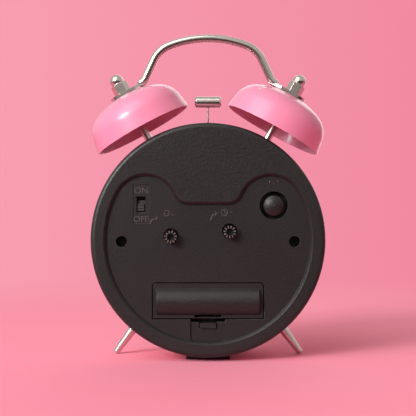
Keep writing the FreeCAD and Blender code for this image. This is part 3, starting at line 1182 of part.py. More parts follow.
node("hammer_head", cut("HammerHeadCut", head, [
    rod("HeadHole", "wire_radius + seat_gap", "head_v - head_radius - 1", "head_v", "0", "0", "z")]))

doc.recompute()
faults = [item.Name for item in doc.Objects if "Invalid" in item.State or "Error" in item.State]
for item in nodes:
    if item.Shape.isNull() or not item.Shape.isValid() or item.Shape.Volume < 0.01:
        faults.append(item.Label)
if faults:
    raise RuntimeError("not built: " + ", ".join(faults))
for item in nodes:
    item.Shape.exportStep("parts/" + item.Label + ".step")
print(len(nodes), "pieces written")
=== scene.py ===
# %% [markdown]
# # A twin bell alarm clock
# The clock stands with its back to the camera: a round pink case with a black cover,
# two pink bells on nickel posts, a hammer between them, a carry handle and two feet.
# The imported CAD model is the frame. It gives every size and every moving body,
# so the pieces made here only have to be put where the frame says.

# %% Load the frame
import json
import math

import bmesh
import bpy
from mathutils import Matrix, Vector
from mathutils.kdtree import KDTree


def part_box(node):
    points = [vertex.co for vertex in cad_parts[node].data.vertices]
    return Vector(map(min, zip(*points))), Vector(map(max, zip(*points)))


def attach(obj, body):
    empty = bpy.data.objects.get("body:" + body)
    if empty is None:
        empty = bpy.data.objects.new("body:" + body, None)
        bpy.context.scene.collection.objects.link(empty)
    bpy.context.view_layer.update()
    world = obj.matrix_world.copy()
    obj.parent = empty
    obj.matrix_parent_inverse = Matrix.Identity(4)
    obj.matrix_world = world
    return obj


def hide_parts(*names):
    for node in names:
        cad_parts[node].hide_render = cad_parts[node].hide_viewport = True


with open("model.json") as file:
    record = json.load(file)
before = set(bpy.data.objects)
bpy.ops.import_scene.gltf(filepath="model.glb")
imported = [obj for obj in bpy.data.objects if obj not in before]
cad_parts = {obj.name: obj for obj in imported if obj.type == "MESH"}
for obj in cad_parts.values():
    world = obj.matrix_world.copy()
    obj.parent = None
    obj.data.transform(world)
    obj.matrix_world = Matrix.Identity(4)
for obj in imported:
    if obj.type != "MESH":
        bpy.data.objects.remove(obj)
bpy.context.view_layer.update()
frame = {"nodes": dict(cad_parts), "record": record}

NODES = frame["nodes"]
MM = 0.001
# The case's axis runs level from front to back. Its height is in millimetres, as most
# sizes below are, and most heights are counted from it.
AXIS = sum(corner.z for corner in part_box("lens")) / 2 / MM

# %% [markdown]
# ## One socket, written like a number
# Material maths reads best as plain expressions. This small class wraps an output
# socket: adding or multiplying it makes the Math node that does so, on whichever side
# of the sign it stands.


# %% A socket with operators
class Signal:
    """A value that varies over the surface."""

    def __init__(self, graph, socket):
        self.graph = graph
        self.socket = socket

    def math(self, operation, *others):
        return self.graph.add("ShaderNodeMath", {"operation": operation}, self, *others)

    def __add__(self, other):
        return self.math("ADD", other)

    def __mul__(self, other):
        return self.math("MULTIPLY", other)

    __radd__ = __add__
    __rmul__ = __mul__


# %% [markdown]
# ## A graph of nodes
# A material and a world are both a graph of nodes. Its `add` method makes any node:
# first the settings, then the values or links of the sockets in their order. The short
# methods after it only give names to the nodes that come up often.


# %% The graph class
class Graph:
    """The nodes of one material or world."""

    def __init__(self, owner, ending):
        owner.use_nodes = True
        self.tree = owner.node_tree
        self.tree.nodes.clear()
        self.ending = self.tree.nodes.new(ending)

    def add(self, kind, settings, *values, output=0):
        """Any node. The answer is its output of that number or name."""
        node = self.tree.nodes.new(kind)
        for key, value in settings.items():
            setattr(node, key, value)
        for socket, value in zip([item for item in node.inputs if item.enabled], values):
            if isinstance(value, Signal):
                self.tree.links.new(value.socket, socket)
            elif value is not None:
                socket.default_value = value
        return Signal(self, node.outputs[output])

    def vector(self, operation, *vectors, output=0):
        return self.add("ShaderNodeVectorMath", {"operation": operation}, *vectors, output=output)

    def length(self, vector):
        return self.vector("LENGTH", vector, output="Value")

    def along(self, axis, vector):
        """A vector's X, Y or Z."""
        return self.add("ShaderNodeSeparateXYZ", {}, vector, output=axis)

    def ramp(self, signal, low, high, curve="LINEAR"):
        """0 below low, 1 above high."""
        settings = {"interpolation_type": curve, "clamp": True}
        return self.add("ShaderNodeMapRange", settings, signal, low, high, 0, 1)

    def blend(self, factor, first, second):
        """A colour between two colours."""
        return self.add("ShaderNodeMix", {"data_type": "RGBA"}, factor, first, second, output=2)

    def mix(self, factor, first, second):
        """A shader between two shaders."""
        return self.add("ShaderNodeMixShader", {}, factor, first, second)

    def ray(self, kind):
        """1 for a ray of one kind, such as Camera or Glossy, and 0 for any other."""
        return self.add("ShaderNodeLightPath", {}, output=f"Is {kind} Ray")

    def direct(self):
        """1 for a ray that comes from the camera, straight or through glass."""
        return self.ray("Camera").math("MAXIMUM", self.ray("Transmission"))

    def show(self, shader):
        """Make this shader the result of the whole graph."""
        self.tree.links.new(shader.socket, self.ending.inputs[0])


# %% [markdown]
# ## A finish
# A finish is one material with one Principled shader. What is the same all over the
# surface is set on the shader's own sockets, and `feed` links what varies. Patterns
# read Object coordinates, which are metres here, so they have real sizes.


# %% The finish class
class Finish(Graph):
    """A material with one Principled shader."""

    def __init__(self, name, **plain):
        self.material = bpy.data.materials.new(name)
        super().__init__(self.material, "ShaderNodeOutputMaterial")
        self.surface = self.add("ShaderNodeBsdfPrincipled", {})
        self.sockets = self.surface.socket.node.inputs
        self.show(self.surface)
        for socket, value in plain.items():
            self.sockets[socket.replace("_", " ")].default_value = value
        self.place = self.add("ShaderNodeTexCoord", {}, output="Object")

    def noise(self, scale, detail=3, place=None):
        """Spots between 0 and 1, about as many in a metre as the scale says."""
        return self.add("ShaderNodeTexNoise", {}, place or self.place, scale, detail, 0.55)

    def stretched(self, scale):
        """Object coordinates pulled long or short along each axis, for brushed or drawn metal."""
        return self.add("ShaderNodeMapping", {}, self.place, (0, 0, 0), (0, 0, 0), scale)

    def feed(self, name, signal):
        self.tree.links.new(signal.socket, self.sockets[name])

    def bump(self, height, strength, depth):
        """Relief: depth is the real height in millimetres that a step of 1 stands for."""
        self.feed("Normal", self.add("ShaderNodeBump", {}, strength, depth * MM, None, height))


# %% Colours and objects
def paint(*levels):
    """A colour as a screen shows it, 11 to 255 a channel, as the linear numbers that the
    shader needs. The numbers in it are the screen's own curve."""
    return (*[((level / 255 + 0.055) / 1.055) ** 2.4 for level in levels], 1)


def toned(colour, factor):
    """A colour made lighter or darker."""
    return (*[min(1, channel * factor) for channel in colour[:3]], 1)


def put(name, data):
    """A new object in the scene, at the origin."""
    item = bpy.data.objects.new(name, data)
    bpy.context.scene.collection.objects.link(item)
    return item


# %% [markdown]
# ## Camera
# The photograph looks level at the clock's back from about half a metre, a little above
# its middle. The camera's distance decides how much of the bells' depth shows, so it
# comes first, and the lens is then chosen so that the clock is as large as in the picture.

# %% Camera
LENS = 86.92
SENSOR_WIDTH = 36
EYE = (0, 523, AXIS + 16.1)


def aim(location, target):
    """The turn that makes a lamp or camera look from one point at another."""
    return (Vector(target) - Vector(location)).to_track_quat("-Z", "Y").to_euler()


camera = put("Camera", bpy.data.cameras.new("Camera"))
camera.data.lens = LENS
camera.data.sensor_width = SENSOR_WIDTH
camera.data.clip_start = 10 * MM
camera.location = [v * MM for v in EYE]
camera.rotation_euler = aim(EYE, (0, 0, EYE[2]))
bpy.context.scene.camera = camera
bpy.context.scene.view_settings.view_transform = "Standard"
print("camera", tuple(round(v, 4) for v in camera.location))

# %% [markdown]
# ## Floor
# The room is one pale pink with no line between floor and wall. A curved backdrop could
# give that, but its bend would be lit unevenly. So the floor is one flat sheet: near the
# clock it takes the light and the shadow, and it turns into a plain glow of the wall's
# colour half a metre away. Only a ray from the camera meets that glow, so it lights
# nothing. What metal mirrors is dimmed on the camera's side, because nickel shows a dark
# strip there in the photograph.

# %% Floor
# In metres: how far the sheet goes each way, and how far it lies under the clock's feet
FLOOR_REACH = 6
FLOOR_DROP = 0.1 * MM

sheet = bmesh.new()
bmesh.ops.create_grid(sheet, x_segments=2, y_segments=2, size=FLOOR_REACH)
bmesh.ops.translate(sheet, vec=(0, 0, -FLOOR_DROP), verts=sheet.verts)
floor = put("Floor", bpy.data.meshes.new("Floor"))
sheet.to_mesh(floor.data)
sheet.free()
print("floor", len(floor.data.polygons), "faces")

# %% Floor finish
# The wall's lighter left is painted light, from the side where the lamps stand.
WALL_LEFT = paint(249, 157, 177)
WALL_RIGHT = paint(241, 139, 161)
WALL_CHANGE = (-0.2, 0.2)
# From here to there, in metres from under the clock: the glow all round, and the dimming
# towards the camera
GLOW_RISES = (0.16, 0.62)
DIMMING_RISES = (0.04, 0.22)


def wall(graph, direction):
    """The wall's colour in a direction: a little lighter at the left of the picture, painted light
    from the lamps' side.
    """
    side = graph.ramp(graph.along("X", direction), *WALL_CHANGE)
    return graph.blend(side, WALL_RIGHT, WALL_LEFT)


pink_floor = Finish("FloorPink", Roughness=0.85, Specular_IOR_Level=0.2)
uneven = pink_floor.noise(4, 2)
pink_floor.feed("Base Color", pink_floor.blend(uneven, paint(246, 156, 176), paint(243, 150, 170)))

# The wall's colour goes by direction from one fixed point, so floor and wall agree there.
sight = pink_floor.vector("SUBTRACT", pink_floor.place, [v * MM for v in EYE])
sight = pink_floor.vector("NORMALIZE", sight)
glow = pink_floor.add("ShaderNodeEmission", {}, wall(pink_floor, sight), 1.0)
away = pink_floor.ramp(pink_floor.length(pink_floor.place), *GLOW_RISES, "SMOOTHSTEP")
seen_floor = pink_floor.mix(away * pink_floor.direct(), pink_floor.surface, glow)

dim = pink_floor.add("ShaderNodeEmission", {}, paint(58, 46, 46), 1.0)
toward = pink_floor.ramp(pink_floor.along("Y", pink_floor.place), *DIMMING_RISES)
pink_floor.show(pink_floor.mix(toward * pink_floor.ray("Glossy"), seen_floor, dim))
floor.data.materials.append(pink_floor.material)
print("floor finish", len(pink_floor.tree.nodes), "nodes")

# %% [markdown]
# ## World
# One world does three jobs, told apart by the kind of ray. The camera sees the wall.
# Gloss and metal mirror a studio: pink behind the clock, dark on the camera's side, and
# paler above and to the left, where the lamps are. Matt surfaces get a weak fill, which
# is pink from above, as walls and a ceiling of that colour would give.

# %% World
BEHIND, NEAR_CAMERA = paint(214, 146, 158), paint(66, 63, 61)
BESIDE, ABOVE = paint(196, 188, 184), paint(206, 199, 196)
FILL_LEVEL, FILL_HIGH = (0.88, 0.93, 0.91, 1), (1.5, 0.58, 0.66, 1)
FILL_STRENGTH = 0.3
# How far a direction has to point one way for each change to start and to be complete
TO_CAMERA = (-0.35, 0.75)
TO_LEFT = (0.35, 0.8)
UP = (-0.02, 0.3)
WELL_UP = (0.3, 0.8)

world = bpy.data.worlds.new("Room")
bpy.context.scene.world = world
room = Graph(world, "ShaderNodeOutputWorld")
direction = room.add("ShaderNodeTexCoord", {}, output="Generated")
x, y, z = [room.along(axis, direction) for axis in "XYZ"]

seen = room.add("ShaderNodeBackground", {}, wall(room, direction), 1.0)
studio = room.blend(room.ramp(y, *TO_CAMERA), BEHIND, NEAR_CAMERA)
studio = room.blend(room.ramp(x, *TO_LEFT), studio, BESIDE)
studio = room.blend(room.ramp(z, *UP), studio, ABOVE)
mirrored = room.add("ShaderNodeBackground", {}, studio, 1.0)
fill = room.blend(room.ramp(z, *WELL_UP), FILL_LEVEL, FILL_HIGH)
fill = room.add("ShaderNodeBackground", {}, fill, FILL_STRENGTH)
room.show(room.mix(room.direct(), room.mix(room.ray("Glossy"), fill, mirrored), seen))
print("world", len(room.tree.nodes), "nodes")

# %% [markdown]
# ## Lamps
# The shadow on the floor falls to the right and away from the camera, so the key lamp
# stands at the left on the camera's side. A large lamp above it softens the shadow's
# edge, and a weak one lights the dial, for views from the other side.


# %% Lamps
def lamp(name, location, target, size, power):
    """A square lamp: places in millimetres, its size in metres and its power in watts."""
    light = bpy.data.lights.new(name, "AREA")
    light.size = size
    light.energy = power
    item = put(name, light)
    item.location = [v * MM for v in location]
    item.rotation_euler = aim(location, target)


lamp("KeyLamp", (1500, 1700, 1000), (0, 0, 90), size=0.8, power=49)
lamp("SoftLamp", (1150, 1350, 1850), (0, 0, 70), size=2.2, power=34)
lamp("FrontLamp", (-250, -1100, 420), (0, 0, 70), size=0.9, power=3)

# %% [markdown]
# ## Moulded plastic
# The cover and its knobs are moulded in black plastic. The mould is spark-eroded, which leaves a
# fine grain that breaks up the shine. One function makes every plastic here: a small noise gives
# the grain's relief, and with a large one it moves colour and roughness a little. Deep wells in the
# cover are painted black inside, a painted shade for a cavity that gets hardly any light.

# %% Places and distances
# The knobs' axes, beside and above the case's axis
TIME_KNOB = (-10.8, 4.2)
ALARM_KNOB = (18.5, 1.7)
# Where a change starts and where it ends
SHADED_CORE_RADIUS = (1.9, 2.2)
SHADED_WELL_DEPTH = (18.5, 20.2)
RIM_RADIUS = (50, 52)


def from_line(finish, x, height):
    """Distance from a line that runs front to back, beside and above the case's axis."""
    corner = (x * MM, 0, (AXIS + height) * MM)
    flat = finish.vector("MULTIPLY", finish.vector("SUBTRACT", finish.place, corner), (1, 0, 1))
    return finish.length(flat)


def ramp_mm(finish, signal, limits):
    """A ramp between two limits in millimetres."""
    return finish.ramp(signal, limits[0] * MM, limits[1] * MM)


# %% Moulded plastic
def moulded(name, colour, rough, grain, depth, spread,
            coat=0.0, shine=0.45, shaded_wells=None, shaded_core=None):
    """Grained plastic. Rough is its mean roughness, grain and depth are the pattern's size
    and relief in millimetres, spread is how far the colour goes both ways, coat and shine
    go on the shader. The two depths given for the cover's cavities are where the colour falls off
    to black, inside the cover's rim only: a painted shade. The axis given for a knob marks its
    middle well, which is painted black as a painted shade."""
    finish = Finish(name, Coat_Weight=coat, Specular_IOR_Level=shine)
    pits = finish.noise(1 / (grain * MM))
    cloud = finish.noise(22)
    patches = finish.ramp(pits, 0.35, 0.65) * 0.6 + cloud * 0.4
    tone = finish.blend(patches, toned(colour, 1 / spread), toned(colour, spread))
    # Painted shade: the colour falls off to black deep in the cover's cavities, inside its rim.
    if shaded_wells:
        open_air = ramp_mm(finish, finish.along("Y", finish.place), shaded_wells)
        outside = ramp_mm(finish, from_line(finish, 0, 0), RIM_RADIUS)
        tone = finish.blend(open_air.math("MAXIMUM", outside), paint(16, 14, 14), tone)
    # Painted shade: a knob's middle well is painted black around its axis.
    if shaded_core:
        lit_ribs = ramp_mm(finish, from_line(finish, *shaded_core), SHADED_CORE_RADIUS)
        tone = finish.blend(lit_ribs, paint(14, 13, 13), tone)
    finish.feed("Base Color", tone)
    # Noise is 0.5 on average, so the two parts add 0.15 to what is left of rough.
    finish.feed("Roughness", pits * 0.22 + cloud * 0.08 + (rough - 0.15))
    finish.bump(pits, 0.9, depth)
    return finish.material


# %% Plastics on the back
COVER = moulded("CoverGrain", paint(30, 29, 28), 0.4, 0.75, 0.16, 1.45,
                shine=0.4, shaded_wells=SHADED_WELL_DEPTH)
KNOB = moulded("KnobBlack", paint(38, 36, 36), 0.5, 0.25, 0.01, 1.35)
# The knobs are black plastic. Their ribbed ends are painted a lighter grey, a painted highlight for
# the light the rib ends catch, with a painted shade in the middle well.
LIT_RIBS_TIME = moulded("TimeKnobRibsLit", paint(104, 98, 92), 0.4, 0.25, 0.01, 1.2, shaded_core=TIME_KNOB)
LIT_RIBS_ALARM = moulded("AlarmKnobRibsLit", paint(104, 98, 92), 0.4, 0.25, 0.01, 1.2, shaded_core=ALARM_KNOB)
SLIDER = moulded("SliderGrey", paint(46, 44, 43), 0.5, 0.25, 0.01, 1.1)
BLACK = moulded("ScrewBlack", paint(14, 13, 13), 0.45, 0.4, 0.004, 1.1)
# The rest pad is black rubber that holds the rim off the floor; its black also stands for the band
# of shade under the rim, so it is partly painted shade.
RUBBER_AND_SHADE = moulded("PadRubber", paint(22, 20, 20), 0.75, 0.6, 0.02, 1.2)
# The raised marks are moulded in the cover's black; their lighter grey is a painted highlight for
# the light their edges catch.
LIT_MARK = moulded("RaisedMarkLit", paint(74, 72, 69), 0.4, 0.25, 0.01, 1.2)
print("plastics on the back:", COVER.name, "and 7 more")

# %% Plastics inside and on the dial
MOVEMENT = moulded("MovementGrey", paint(200, 200, 196), 0.5, 0.6, 0.01, 1.04)
GEAR = moulded("GearNatural", paint(228, 225, 210), 0.38, 0.5, 0.005, 1.04)
BOARD = moulded("BoardGreen", paint(38, 92, 58), 0.4, 0.5, 0.01, 1.2)
CELL = moulded("CellSleeve", paint(70, 82, 96), 0.35, 0.5, 0.004, 1.1, coat=0.5)
LENS_CAP = moulded("LampClear", paint(245, 240, 225), 0.15, 0.5, 0.002, 1.02, coat=0.5)
RING = moulded("RingWhite", paint(232, 228, 222), 0.45, 0.4, 0.008, 1.03)
DIAL = moulded("DialCard", paint(240, 236, 228), 0.6, 0.15, 0.004, 1.02)
INK = moulded("DialInk", paint(24, 24, 26), 0.5, 0.1, 0.002, 1.1)
HAND = moulded("HandBlack", paint(28, 28, 30), 0.4, 0.2, 0.003, 1.1)
HAND_RED = moulded("HandRed", paint(190, 40, 35), 0.35, 0.2, 0.003, 1.1)
print("plastics inside:", MOVEMENT.name, "and 9 more")

# %% [markdown]
# ## Enamel and metal
# Case and bells are sheet metal with a sprayed gloss paint, which dries with a faint
# orange peel. A clear coat over a duller base gives that shine better than one low
# roughness does. Handle, posts, nuts, hammer and feet are nickel-plated: the plating
# mirrors softly and keeps the drawing marks of the rod, a noise that is pulled long.


# %% Enamel
def enamel(name, colour):
    """Sprayed gloss paint over sheet metal."""
    finish = Finish(name, Coat_Weight=0.5, Coat_Roughness=0.16, Specular_IOR_Level=0.35)
    peel = finish.noise(900, 2)
    cloud = finish.noise(35)
    finish.feed("Base Color", finish.blend(cloud, colour, toned(colour, 0.96)))
    finish.feed("Roughness", cloud * 0.06 + peel * 0.04 + 0.34)
    finish.bump(peel, 0.25, 0.02)
    return finish.material


PINK = enamel("PinkEnamel", paint(224, 140, 168))
print("enamel:", PINK.name)


# %% Metals
def metal(name, colour, rough, drawn=(1, 1, 1), scale=900, relief=0.0):
    """Bare or plated metal with fine marks, drawn out along the axis with the small factor."""
    finish = Finish(name, Metallic=1.0)
    marks = finish.noise(scale, place=finish.stretched(drawn))
    stain = finish.noise(70)
    finish.feed("Base Color", finish.blend(marks * 0.3 + stain * 0.7, colour, toned(colour, 0.9)))
    finish.feed("Roughness", marks * 0.03 + stain * 0.06 + (rough - 0.05))
    if relief:
        finish.bump(marks, 0.4, relief)
    return finish.material


NICKEL = metal("WarmNickel", paint(214, 207, 199), 0.26, (0.25, 1, 1), 2400)
STEEL = metal("BareSteel", paint(178, 178, 180), 0.38, (1, 0.2, 1), 1500, 0.004)
BRASS = metal("LeafBrass", paint(214, 178, 96), 0.35)
COPPER = metal("CoilCopper", paint(196, 112, 58), 0.4, (6, 0.4, 0.4), 1200, 0.02)
print("metals:", NICKEL.name, STEEL.name, BRASS.name, COPPER.name)

# %% [markdown]
# ## Glass
# A flat glass covers the dial. A pane that bends light, as real glass does, keeps the
# lamps' light out in this renderer, and the dial behind it would be dark. So this one
# doesn't bend it (index 1), lets part of it through by its alpha, and gets its shine
# from a clear coat.

# %% Clear glass
pane = Finish("LensGlass", Transmission_Weight=1.0, IOR=1.0, Alpha=0.45,
              Coat_Weight=1.0, Coat_Roughness=0.03, Base_Color=(0.97, 0.98, 0.98, 1))
smear = pane.noise(40, 4)
pane.feed("Roughness", smear * 0.04)
pane.bump(smear, 0.1, 0.01)
GLASS = pane.material
print("glass:", GLASS.name)

# %% [markdown]
# ## Dressing the frame
# The record names a material slot for each CAD node. Nodes whose shape is right as it is
# stay in the scene and only get the finish of their slot.

# %% Dress the CAD nodes
SLOTS = {
    "cover_black": COVER, "case_pink": PINK, "nickel": NICKEL, "glass_clear": GLASS,
    "dial_white": DIAL, "ring_white": RING, "hand_black": HAND, "hand_red": HAND_RED,
    "movement_grey": MOVEMENT, "gear_white": GEAR, "board_green": BOARD, "coil_copper": COPPER,
    "screw_black": BLACK, "pad_rubber": RUBBER_AND_SHADE, "steel": STEEL, "brass": BRASS,
    "cell_shell": CELL, "lamp_clear": LENS_CAP, "knob_black": KNOB}
SLOT_OF = {item["node"]: item["material_slot"] for item in frame["record"]["subparts"]}
for name, node in NODES.items():
    node.data.materials.clear()
    node.data.materials.append(SLOTS[SLOT_OF[name]])
print("dressed", len(NODES), "nodes")

# %% [markdown]
# ## Softer edges
# A moulded or pressed edge is never sharp: it catches a thin line of light. The CAD
# solids have sharp edges, so each piece that shows well gets a copy with a narrow bevel.
# The copy's loose triangles are merged first and its flat faces joined, because a bevel
# follows the edges between faces. All widths are in millimetres.

# %% Finished pieces
SMOOTH_BELOW = math.radians(32)
WELD = 0.002 * MM
BODY_OF = {}
for body, members in frame["record"]["behaviour"]["bodies"].items():
    BODY_OF.update(dict.fromkeys(members, body))


def merged(node):
    """A bmesh copy of a CAD node, with its loose triangles joined."""
    shape = bmesh.new()
    shape.from_mesh(NODES[node].data)
    bmesh.ops.remove_doubles(shape, verts=shape.verts, dist=WELD)
    return shape


def finished(shape, name, body, material):
    """Turn a bmesh into a piece with its finish, riding on a body."""
    mesh = bpy.data.meshes.new(name)
    shape.to_mesh(mesh)
    shape.free()
    mesh.shade_smooth()
    mesh.set_sharp_from_angle(angle=SMOOTH_BELOW)
    mesh.materials.append(material)
    piece = put(name, mesh)
    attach(piece, body)
    print(name, "on", body, "with", len(mesh.polygons), "faces")
    return piece


# %% Copies with rounded edges
SHARP_FROM = math.radians(28)
FLAT_WITHIN = math.radians(0.05)
COVER_FACE = 19.9


def softened(node, width, finish=None, behind=-100):
    """A copy of a CAD node with its edges rounded, which replaces the node. Only edges
    further back than a depth are rounded, where one is given."""
    shape = merged(node)
    bmesh.ops.dissolve_limit(shape, angle_limit=FLAT_WITHIN, verts=shape.verts, edges=shape.edges)
    sharp = [edge for edge in shape.edges
             if edge.is_manifold and edge.calc_face_angle(0) > SHARP_FROM
             and min(vertex.co.y for vertex in edge.verts) > behind * MM]
    bmesh.ops.bevel(shape, geom=sharp, offset=width * MM, offset_type="OFFSET", affect="EDGES",
                    segments=2, profile=0.5, material=-1, clamp_overlap=False)
    slot = SLOT_OF[node]
    piece = finished(shape, node + "_soft", BODY_OF[node], finish or SLOTS[slot])
    flat = piece.modifiers.new("FlatFacesFirst", "WEIGHTED_NORMAL")
    flat.keep_sharp = True
    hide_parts(node)


softened("back_cover", 0.2, behind=COVER_FACE)
softened("foot_left", 0.35)
softened("foot_right", 0.35)
softened("battery_door", 0.15)
softened("light_button", 0.25, COVER)
softened("switch_slider", 0.12, SLIDER)
softened("time_set_knob", 0.07, LIT_RIBS_TIME)
softened("alarm_set_knob", 0.07, LIT_RIBS_ALARM)
softened("front_bezel", 0.15)
softened("bell_left", 0.2)
softened("bell_right", 0.2)
softened("cap_nut_left", 0.15)
softened("cap_nut_right", 0.15)
softened("hammer_head", 0.15)

# %% [markdown]
# ## Handle
# The carry handle is one nickel-plated rod, bent to a low crown with two legs, and its
# ends are pressed flat under the cap nuts. The CAD node has that shape, but its rod is
# made of narrow flat faces, and a mirror shows every one of them. More faces would only
# make the flats smaller. So the copy keeps its faces, and wherever they lie on the rod,
# their corners get the normals of the exact tube. That needs the rod's middle line,
# which is drawn here from the same arcs.

# %% The rod's middle line
ROD_RADIUS = 2.1
CROWN_HEIGHT = 104.4
CROWN_RADIUS, CROWN_SLOPE = 55.4, 21.2
SHOULDER_RADIUS, LEG_SLOPE = 15, 65.2
ANKLE_RADIUS, TAB_SLOPE = 5, 29
TAB_DISTANCE = 87.82
ARC_STEPS, LEG_STEPS = 40, 60


def bent(slopes, radius, way, start):
    """Points along an arc. Its slope below the horizontal goes from one angle to another,
    and way is 1 where it gets steeper, -1 where it gets flatter."""
    x, height = start
    first = math.radians(slopes[0])
    for step in range(ARC_STEPS + 1):
        slope = math.radians(slopes[0] + (slopes[1] - slopes[0]) * step / ARC_STEPS)
        yield (x + way * radius * (math.sin(slope) - math.sin(first)),
               height - way * radius * (math.cos(first) - math.cos(slope)))


def handle_line():
    """The rod's middle line on one side, from the crown to the flat end. The leg is as
    long as it takes to bring the flat end to its distance from the case's axis."""
    line = list(bent((0, CROWN_SLOPE), CROWN_RADIUS, 1, (0, CROWN_HEIGHT)))
    line += list(bent((CROWN_SLOPE, LEG_SLOPE), SHOULDER_RADIUS, 1, line[-1]))
    down, lean = math.radians(LEG_SLOPE), math.radians(TAB_SLOPE)
    leg = Vector((math.cos(down), -math.sin(down)))
    outward = Vector((math.sin(lean), math.cos(lean)))
    ankle = Vector(list(bent((LEG_SLOPE, TAB_SLOPE), ANKLE_RADIUS, -1, (0, 0)))[-1])
    shoulder = Vector(line[-1])
    length = ((shoulder + ankle).dot(outward) - TAB_DISTANCE) / -leg.dot(outward)
    line += [tuple(shoulder + leg * length * step / LEG_STEPS) for step in range(1, LEG_STEPS + 1)]
    line += list(bent((LEG_SLOPE, TAB_SLOPE), ANKLE_RADIUS, -1, line[-1]))[1:]
    return [Vector((x * MM, 0, (AXIS + height) * MM)) for x, height in line]


# %% Normals of a tube
ON_THE_ROD = 0.05 * MM


def true_normals(piece, line, radius):
    """Shade the faces round a line as the exact tube they stand for."""
    both = [Vector((-point.x, 0, point.z)) for point in reversed(line[1:])] + line
    last = len(both) - 1
    ways = [(both[min(k + 1, last)] - both[max(k - 1, 0)]).normalized() for k in range(last + 1)]
    near = KDTree(len(both))
    for index, point in enumerate(both):
        near.insert(point, index)
    near.balance()
    mesh = piece.data
    normals = []
    count = 0
    for face in mesh.polygons:
        spots = [mesh.vertices[index].co for index in face.vertices]
        found = [near.find(spot)[1] for spot in spots]
        offsets = [spot - both[k] for spot, k in zip(spots, found)]
        offsets = [offset - ways[k] * offset.dot(ways[k]) for offset, k in zip(offsets, found)]
        tube = all(abs(offset.length - radius) < ON_THE_ROD for offset in offsets)
        count += tube
        normals += [offset.normalized() if tube else face.normal.copy() for offset in offsets]
    mesh.normals_split_custom_set(normals)
    print(piece.name, count, "of", len(mesh.polygons), "faces shaded as a tube")


# %% The handle's copy
handle = finished(merged("carry_handle"), "carry_handle_soft", BODY_OF["carry_handle"],
                  NICKEL)
true_normals(handle, handle_line(), ROD_RADIUS * MM)
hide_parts("carry_handle")

# %% [markdown]
# ## Lettering and marks
# The panel has raised ON and OFF beside the switch and small raised signs that say what each
# control does. They could be a pattern in the material, but real strokes catch the light at their
# edges, so letters are text made solid and signs are thin round strokes sunk halfway into the
# panel. They are moulded in the cover's black, and their lighter grey is a painted highlight.

# %% Letters
BACK = Matrix(((-1, 0, 0, 0), (0, 0, 1, 0), (0, 1, 0, 0), (0, 0, 0, 1)))
FRONT = Matrix(((1, 0, 0, 0), (0, 0, -1, 0), (0, 1, 0, 0), (0, 0, 0, 1)))


def facing(way, x, depth, height):
    """Writing that faces the back or the front, centred on a point; height is above the axis."""
    return Matrix.Translation((x * MM, depth * MM, (AXIS + height) * MM)) @ way


def solid_of(name, data):
    """The mesh of a text or a curve, taken through an object that is removed again."""
    item = put(name, data)
    evaluated = item.evaluated_get(bpy.context.evaluated_depsgraph_get())
    solid = bpy.data.meshes.new_from_object(evaluated)
    bpy.data.objects.remove(item)
    return solid


def letters(words, tall, thick, place, into):
    """Solid letters of a cap height and thickness, added to a bmesh at a place. The text is
    made one unit thick and then scaled."""
    text = bpy.data.curves.new("Letters", "FONT")
    text.body = words
    text.extrude = 0.5
    text.resolution_u = 3
    solid = solid_of("Letters", text)
    xs = [vertex.co.x for vertex in solid.vertices]
    ys = [vertex.co.y for vertex in solid.vertices]
    scale = tall * MM / (max(ys) - min(ys))
    middle = Vector(((max(xs) + min(xs)) / 2, (max(ys) + min(ys)) / 2, 0))
    size = Matrix.Diagonal((scale, scale, thick * MM, 1))
    solid.transform(place @ size @ Matrix.Translation(-middle))
    into.from_mesh(solid)
    bpy.data.meshes.remove(solid)


# %% Strokes
SIGN_RADIUS = 0.16


def stroke(points, into, closed=False):
    """A thin round stroke through points, in millimetres, added to a bmesh."""
    line = bpy.data.curves.new("Stroke", "CURVE")
    line.dimensions = "3D"
    line.bevel_depth = SIGN_RADIUS * MM
    line.bevel_resolution = 2
    line.use_fill_caps = True
    spline = line.splines.new("NURBS")
    spline.points.add(len(points) - 1)
    for place, point in zip(spline.points, points):
        place.co = (*[v * MM for v in point], 1)
    spline.order_u = 3
    spline.use_endpoint_u = True
    spline.use_cyclic_u = closed
    solid = solid_of("Stroke", line)
    into.from_mesh(solid)
    bpy.data.meshes.remove(solid)


# %% Words beside the switch
PANEL = 21.0
SWITCH_X = 33.5
WORD_HEIGHT = 3.1
WORD_THICKNESS = 0.18
WORD_DEPTH = PANEL - 0.22

words = bmesh.new()
for word, height in (("ON", 24.9), ("OFF", 10.6)):
    letters(word, WORD_HEIGHT, WORD_THICKNESS, facing(BACK, SWITCH_X, WORD_DEPTH, height), words)
finished(words, "switch_words", "case", LIT_MARK)

# %% Signs on the panel
SIGNS = (
    # by the alarm knob: a turning arrow, its head, a bell, a tick
    [(29, 8.3), (28.2, 9.9), (26.9, 10.9), (25, 11.4)],
    [(26.2, 12.3), (25, 11.4), (25.9, 10.3)],
    [(21.7, 12.2), (21.7, 14.2), (20.6, 15.2), (19.5, 14.2), (19.5, 12.2), (21.7, 12.2)],
    [(18.1, 13.3), (17.4, 12.3)],
    # by the time knob: a turning arrow, its head, a clock's hands, a tick
    [(-1.2, 10.1), (-1.9, 12), (-3, 13.1), (-4.6, 13.7)],
    [(-3.3, 14.6), (-4.6, 13.7), (-3.8, 12.5)],
    [(-8.2, 14.9), (-8.2, 13.6), (-9.1, 13.2)],
    [(-11.4, 14.4), (-12.2, 13.4)],
    # above the light button: three rays
    [(-32.9, 27.7), (-32.9, 28.8)],
    [(-30.6, 28.7), (-31.1, 29.9)],
    [(-35.2, 28.7), (-34.7, 29.9)])
CLOCK_X, CLOCK_HEIGHT, CLOCK_RADIUS = -8.2, 13.9, 1.7

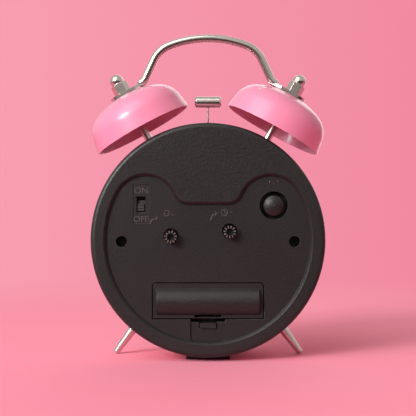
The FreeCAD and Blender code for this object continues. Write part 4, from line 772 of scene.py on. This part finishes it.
signs = bmesh.new()
for line in SIGNS:
    stroke([(x, PANEL, AXIS + height) for x, height in line], signs)
ring = []
for corner in range(8):
    turn = math.radians(45 * corner)
    ring.append((CLOCK_X + CLOCK_RADIUS * math.cos(turn), PANEL,
                 AXIS + CLOCK_HEIGHT + CLOCK_RADIUS * math.sin(turn)))
stroke(ring, signs, closed=True)
finished(signs, "panel_signs", "case", LIT_MARK)

# %% [markdown]
# ## The dial
# The dial faces away from the photograph's camera. It is a white card with printed black
# numbers, a minute track and bolder marks every five minutes. A print could be a picture,
# but then it would be only as sharp as its pixels, so each mark is a thin solid film.

# %% Printed numbers
DIAL_FACE = -12.5
FILM = 0.03
NUMBER_HEIGHT = 7
NUMBER_CIRCLE = 36.5

dial_ink = bmesh.new()
for hour in range(1, 13):
    turn = math.radians(30 * hour)
    place = facing(FRONT, NUMBER_CIRCLE * math.sin(turn), DIAL_FACE, NUMBER_CIRCLE * math.cos(turn))
    letters(str(hour), NUMBER_HEIGHT, FILM, place, dial_ink)
print("numbers:", len(dial_ink.faces), "faces")

# %% Printed minute track
TRACK_EDGE = 47
BOLD_BAR = (1.1, 43.2)
THIN_BAR = (0.4, 44.6)

for minute in range(60):
    wide, inner = BOLD_BAR if minute % 5 == 0 else THIN_BAR
    bar = bmesh.ops.create_grid(dial_ink, x_segments=1, y_segments=1, size=0.5)["verts"]
    bmesh.ops.scale(dial_ink, vec=(wide * MM, (TRACK_EDGE - inner) * MM, 1), verts=bar)
    bmesh.ops.translate(dial_ink, vec=(0, (TRACK_EDGE + inner) / 2 * MM, FILM * MM), verts=bar)
    turned = facing(FRONT, 0, DIAL_FACE, 0) @ Matrix.Rotation(math.radians(-6 * minute), 4, "Z")
    bmesh.ops.transform(dial_ink, matrix=turned, verts=bar)
    base = list(dict.fromkeys(edge for vertex in bar for edge in vertex.link_edges))
    walls = bmesh.ops.extrude_edge_only(dial_ink, edges=base)["geom"]
    lowered = [item for item in walls if isinstance(item, bmesh.types.BMVert)]
    bmesh.ops.translate(dial_ink, vec=(0, 2 * FILM * MM, 0), verts=lowered)
finished(dial_ink, "dial_print", "case", INK)
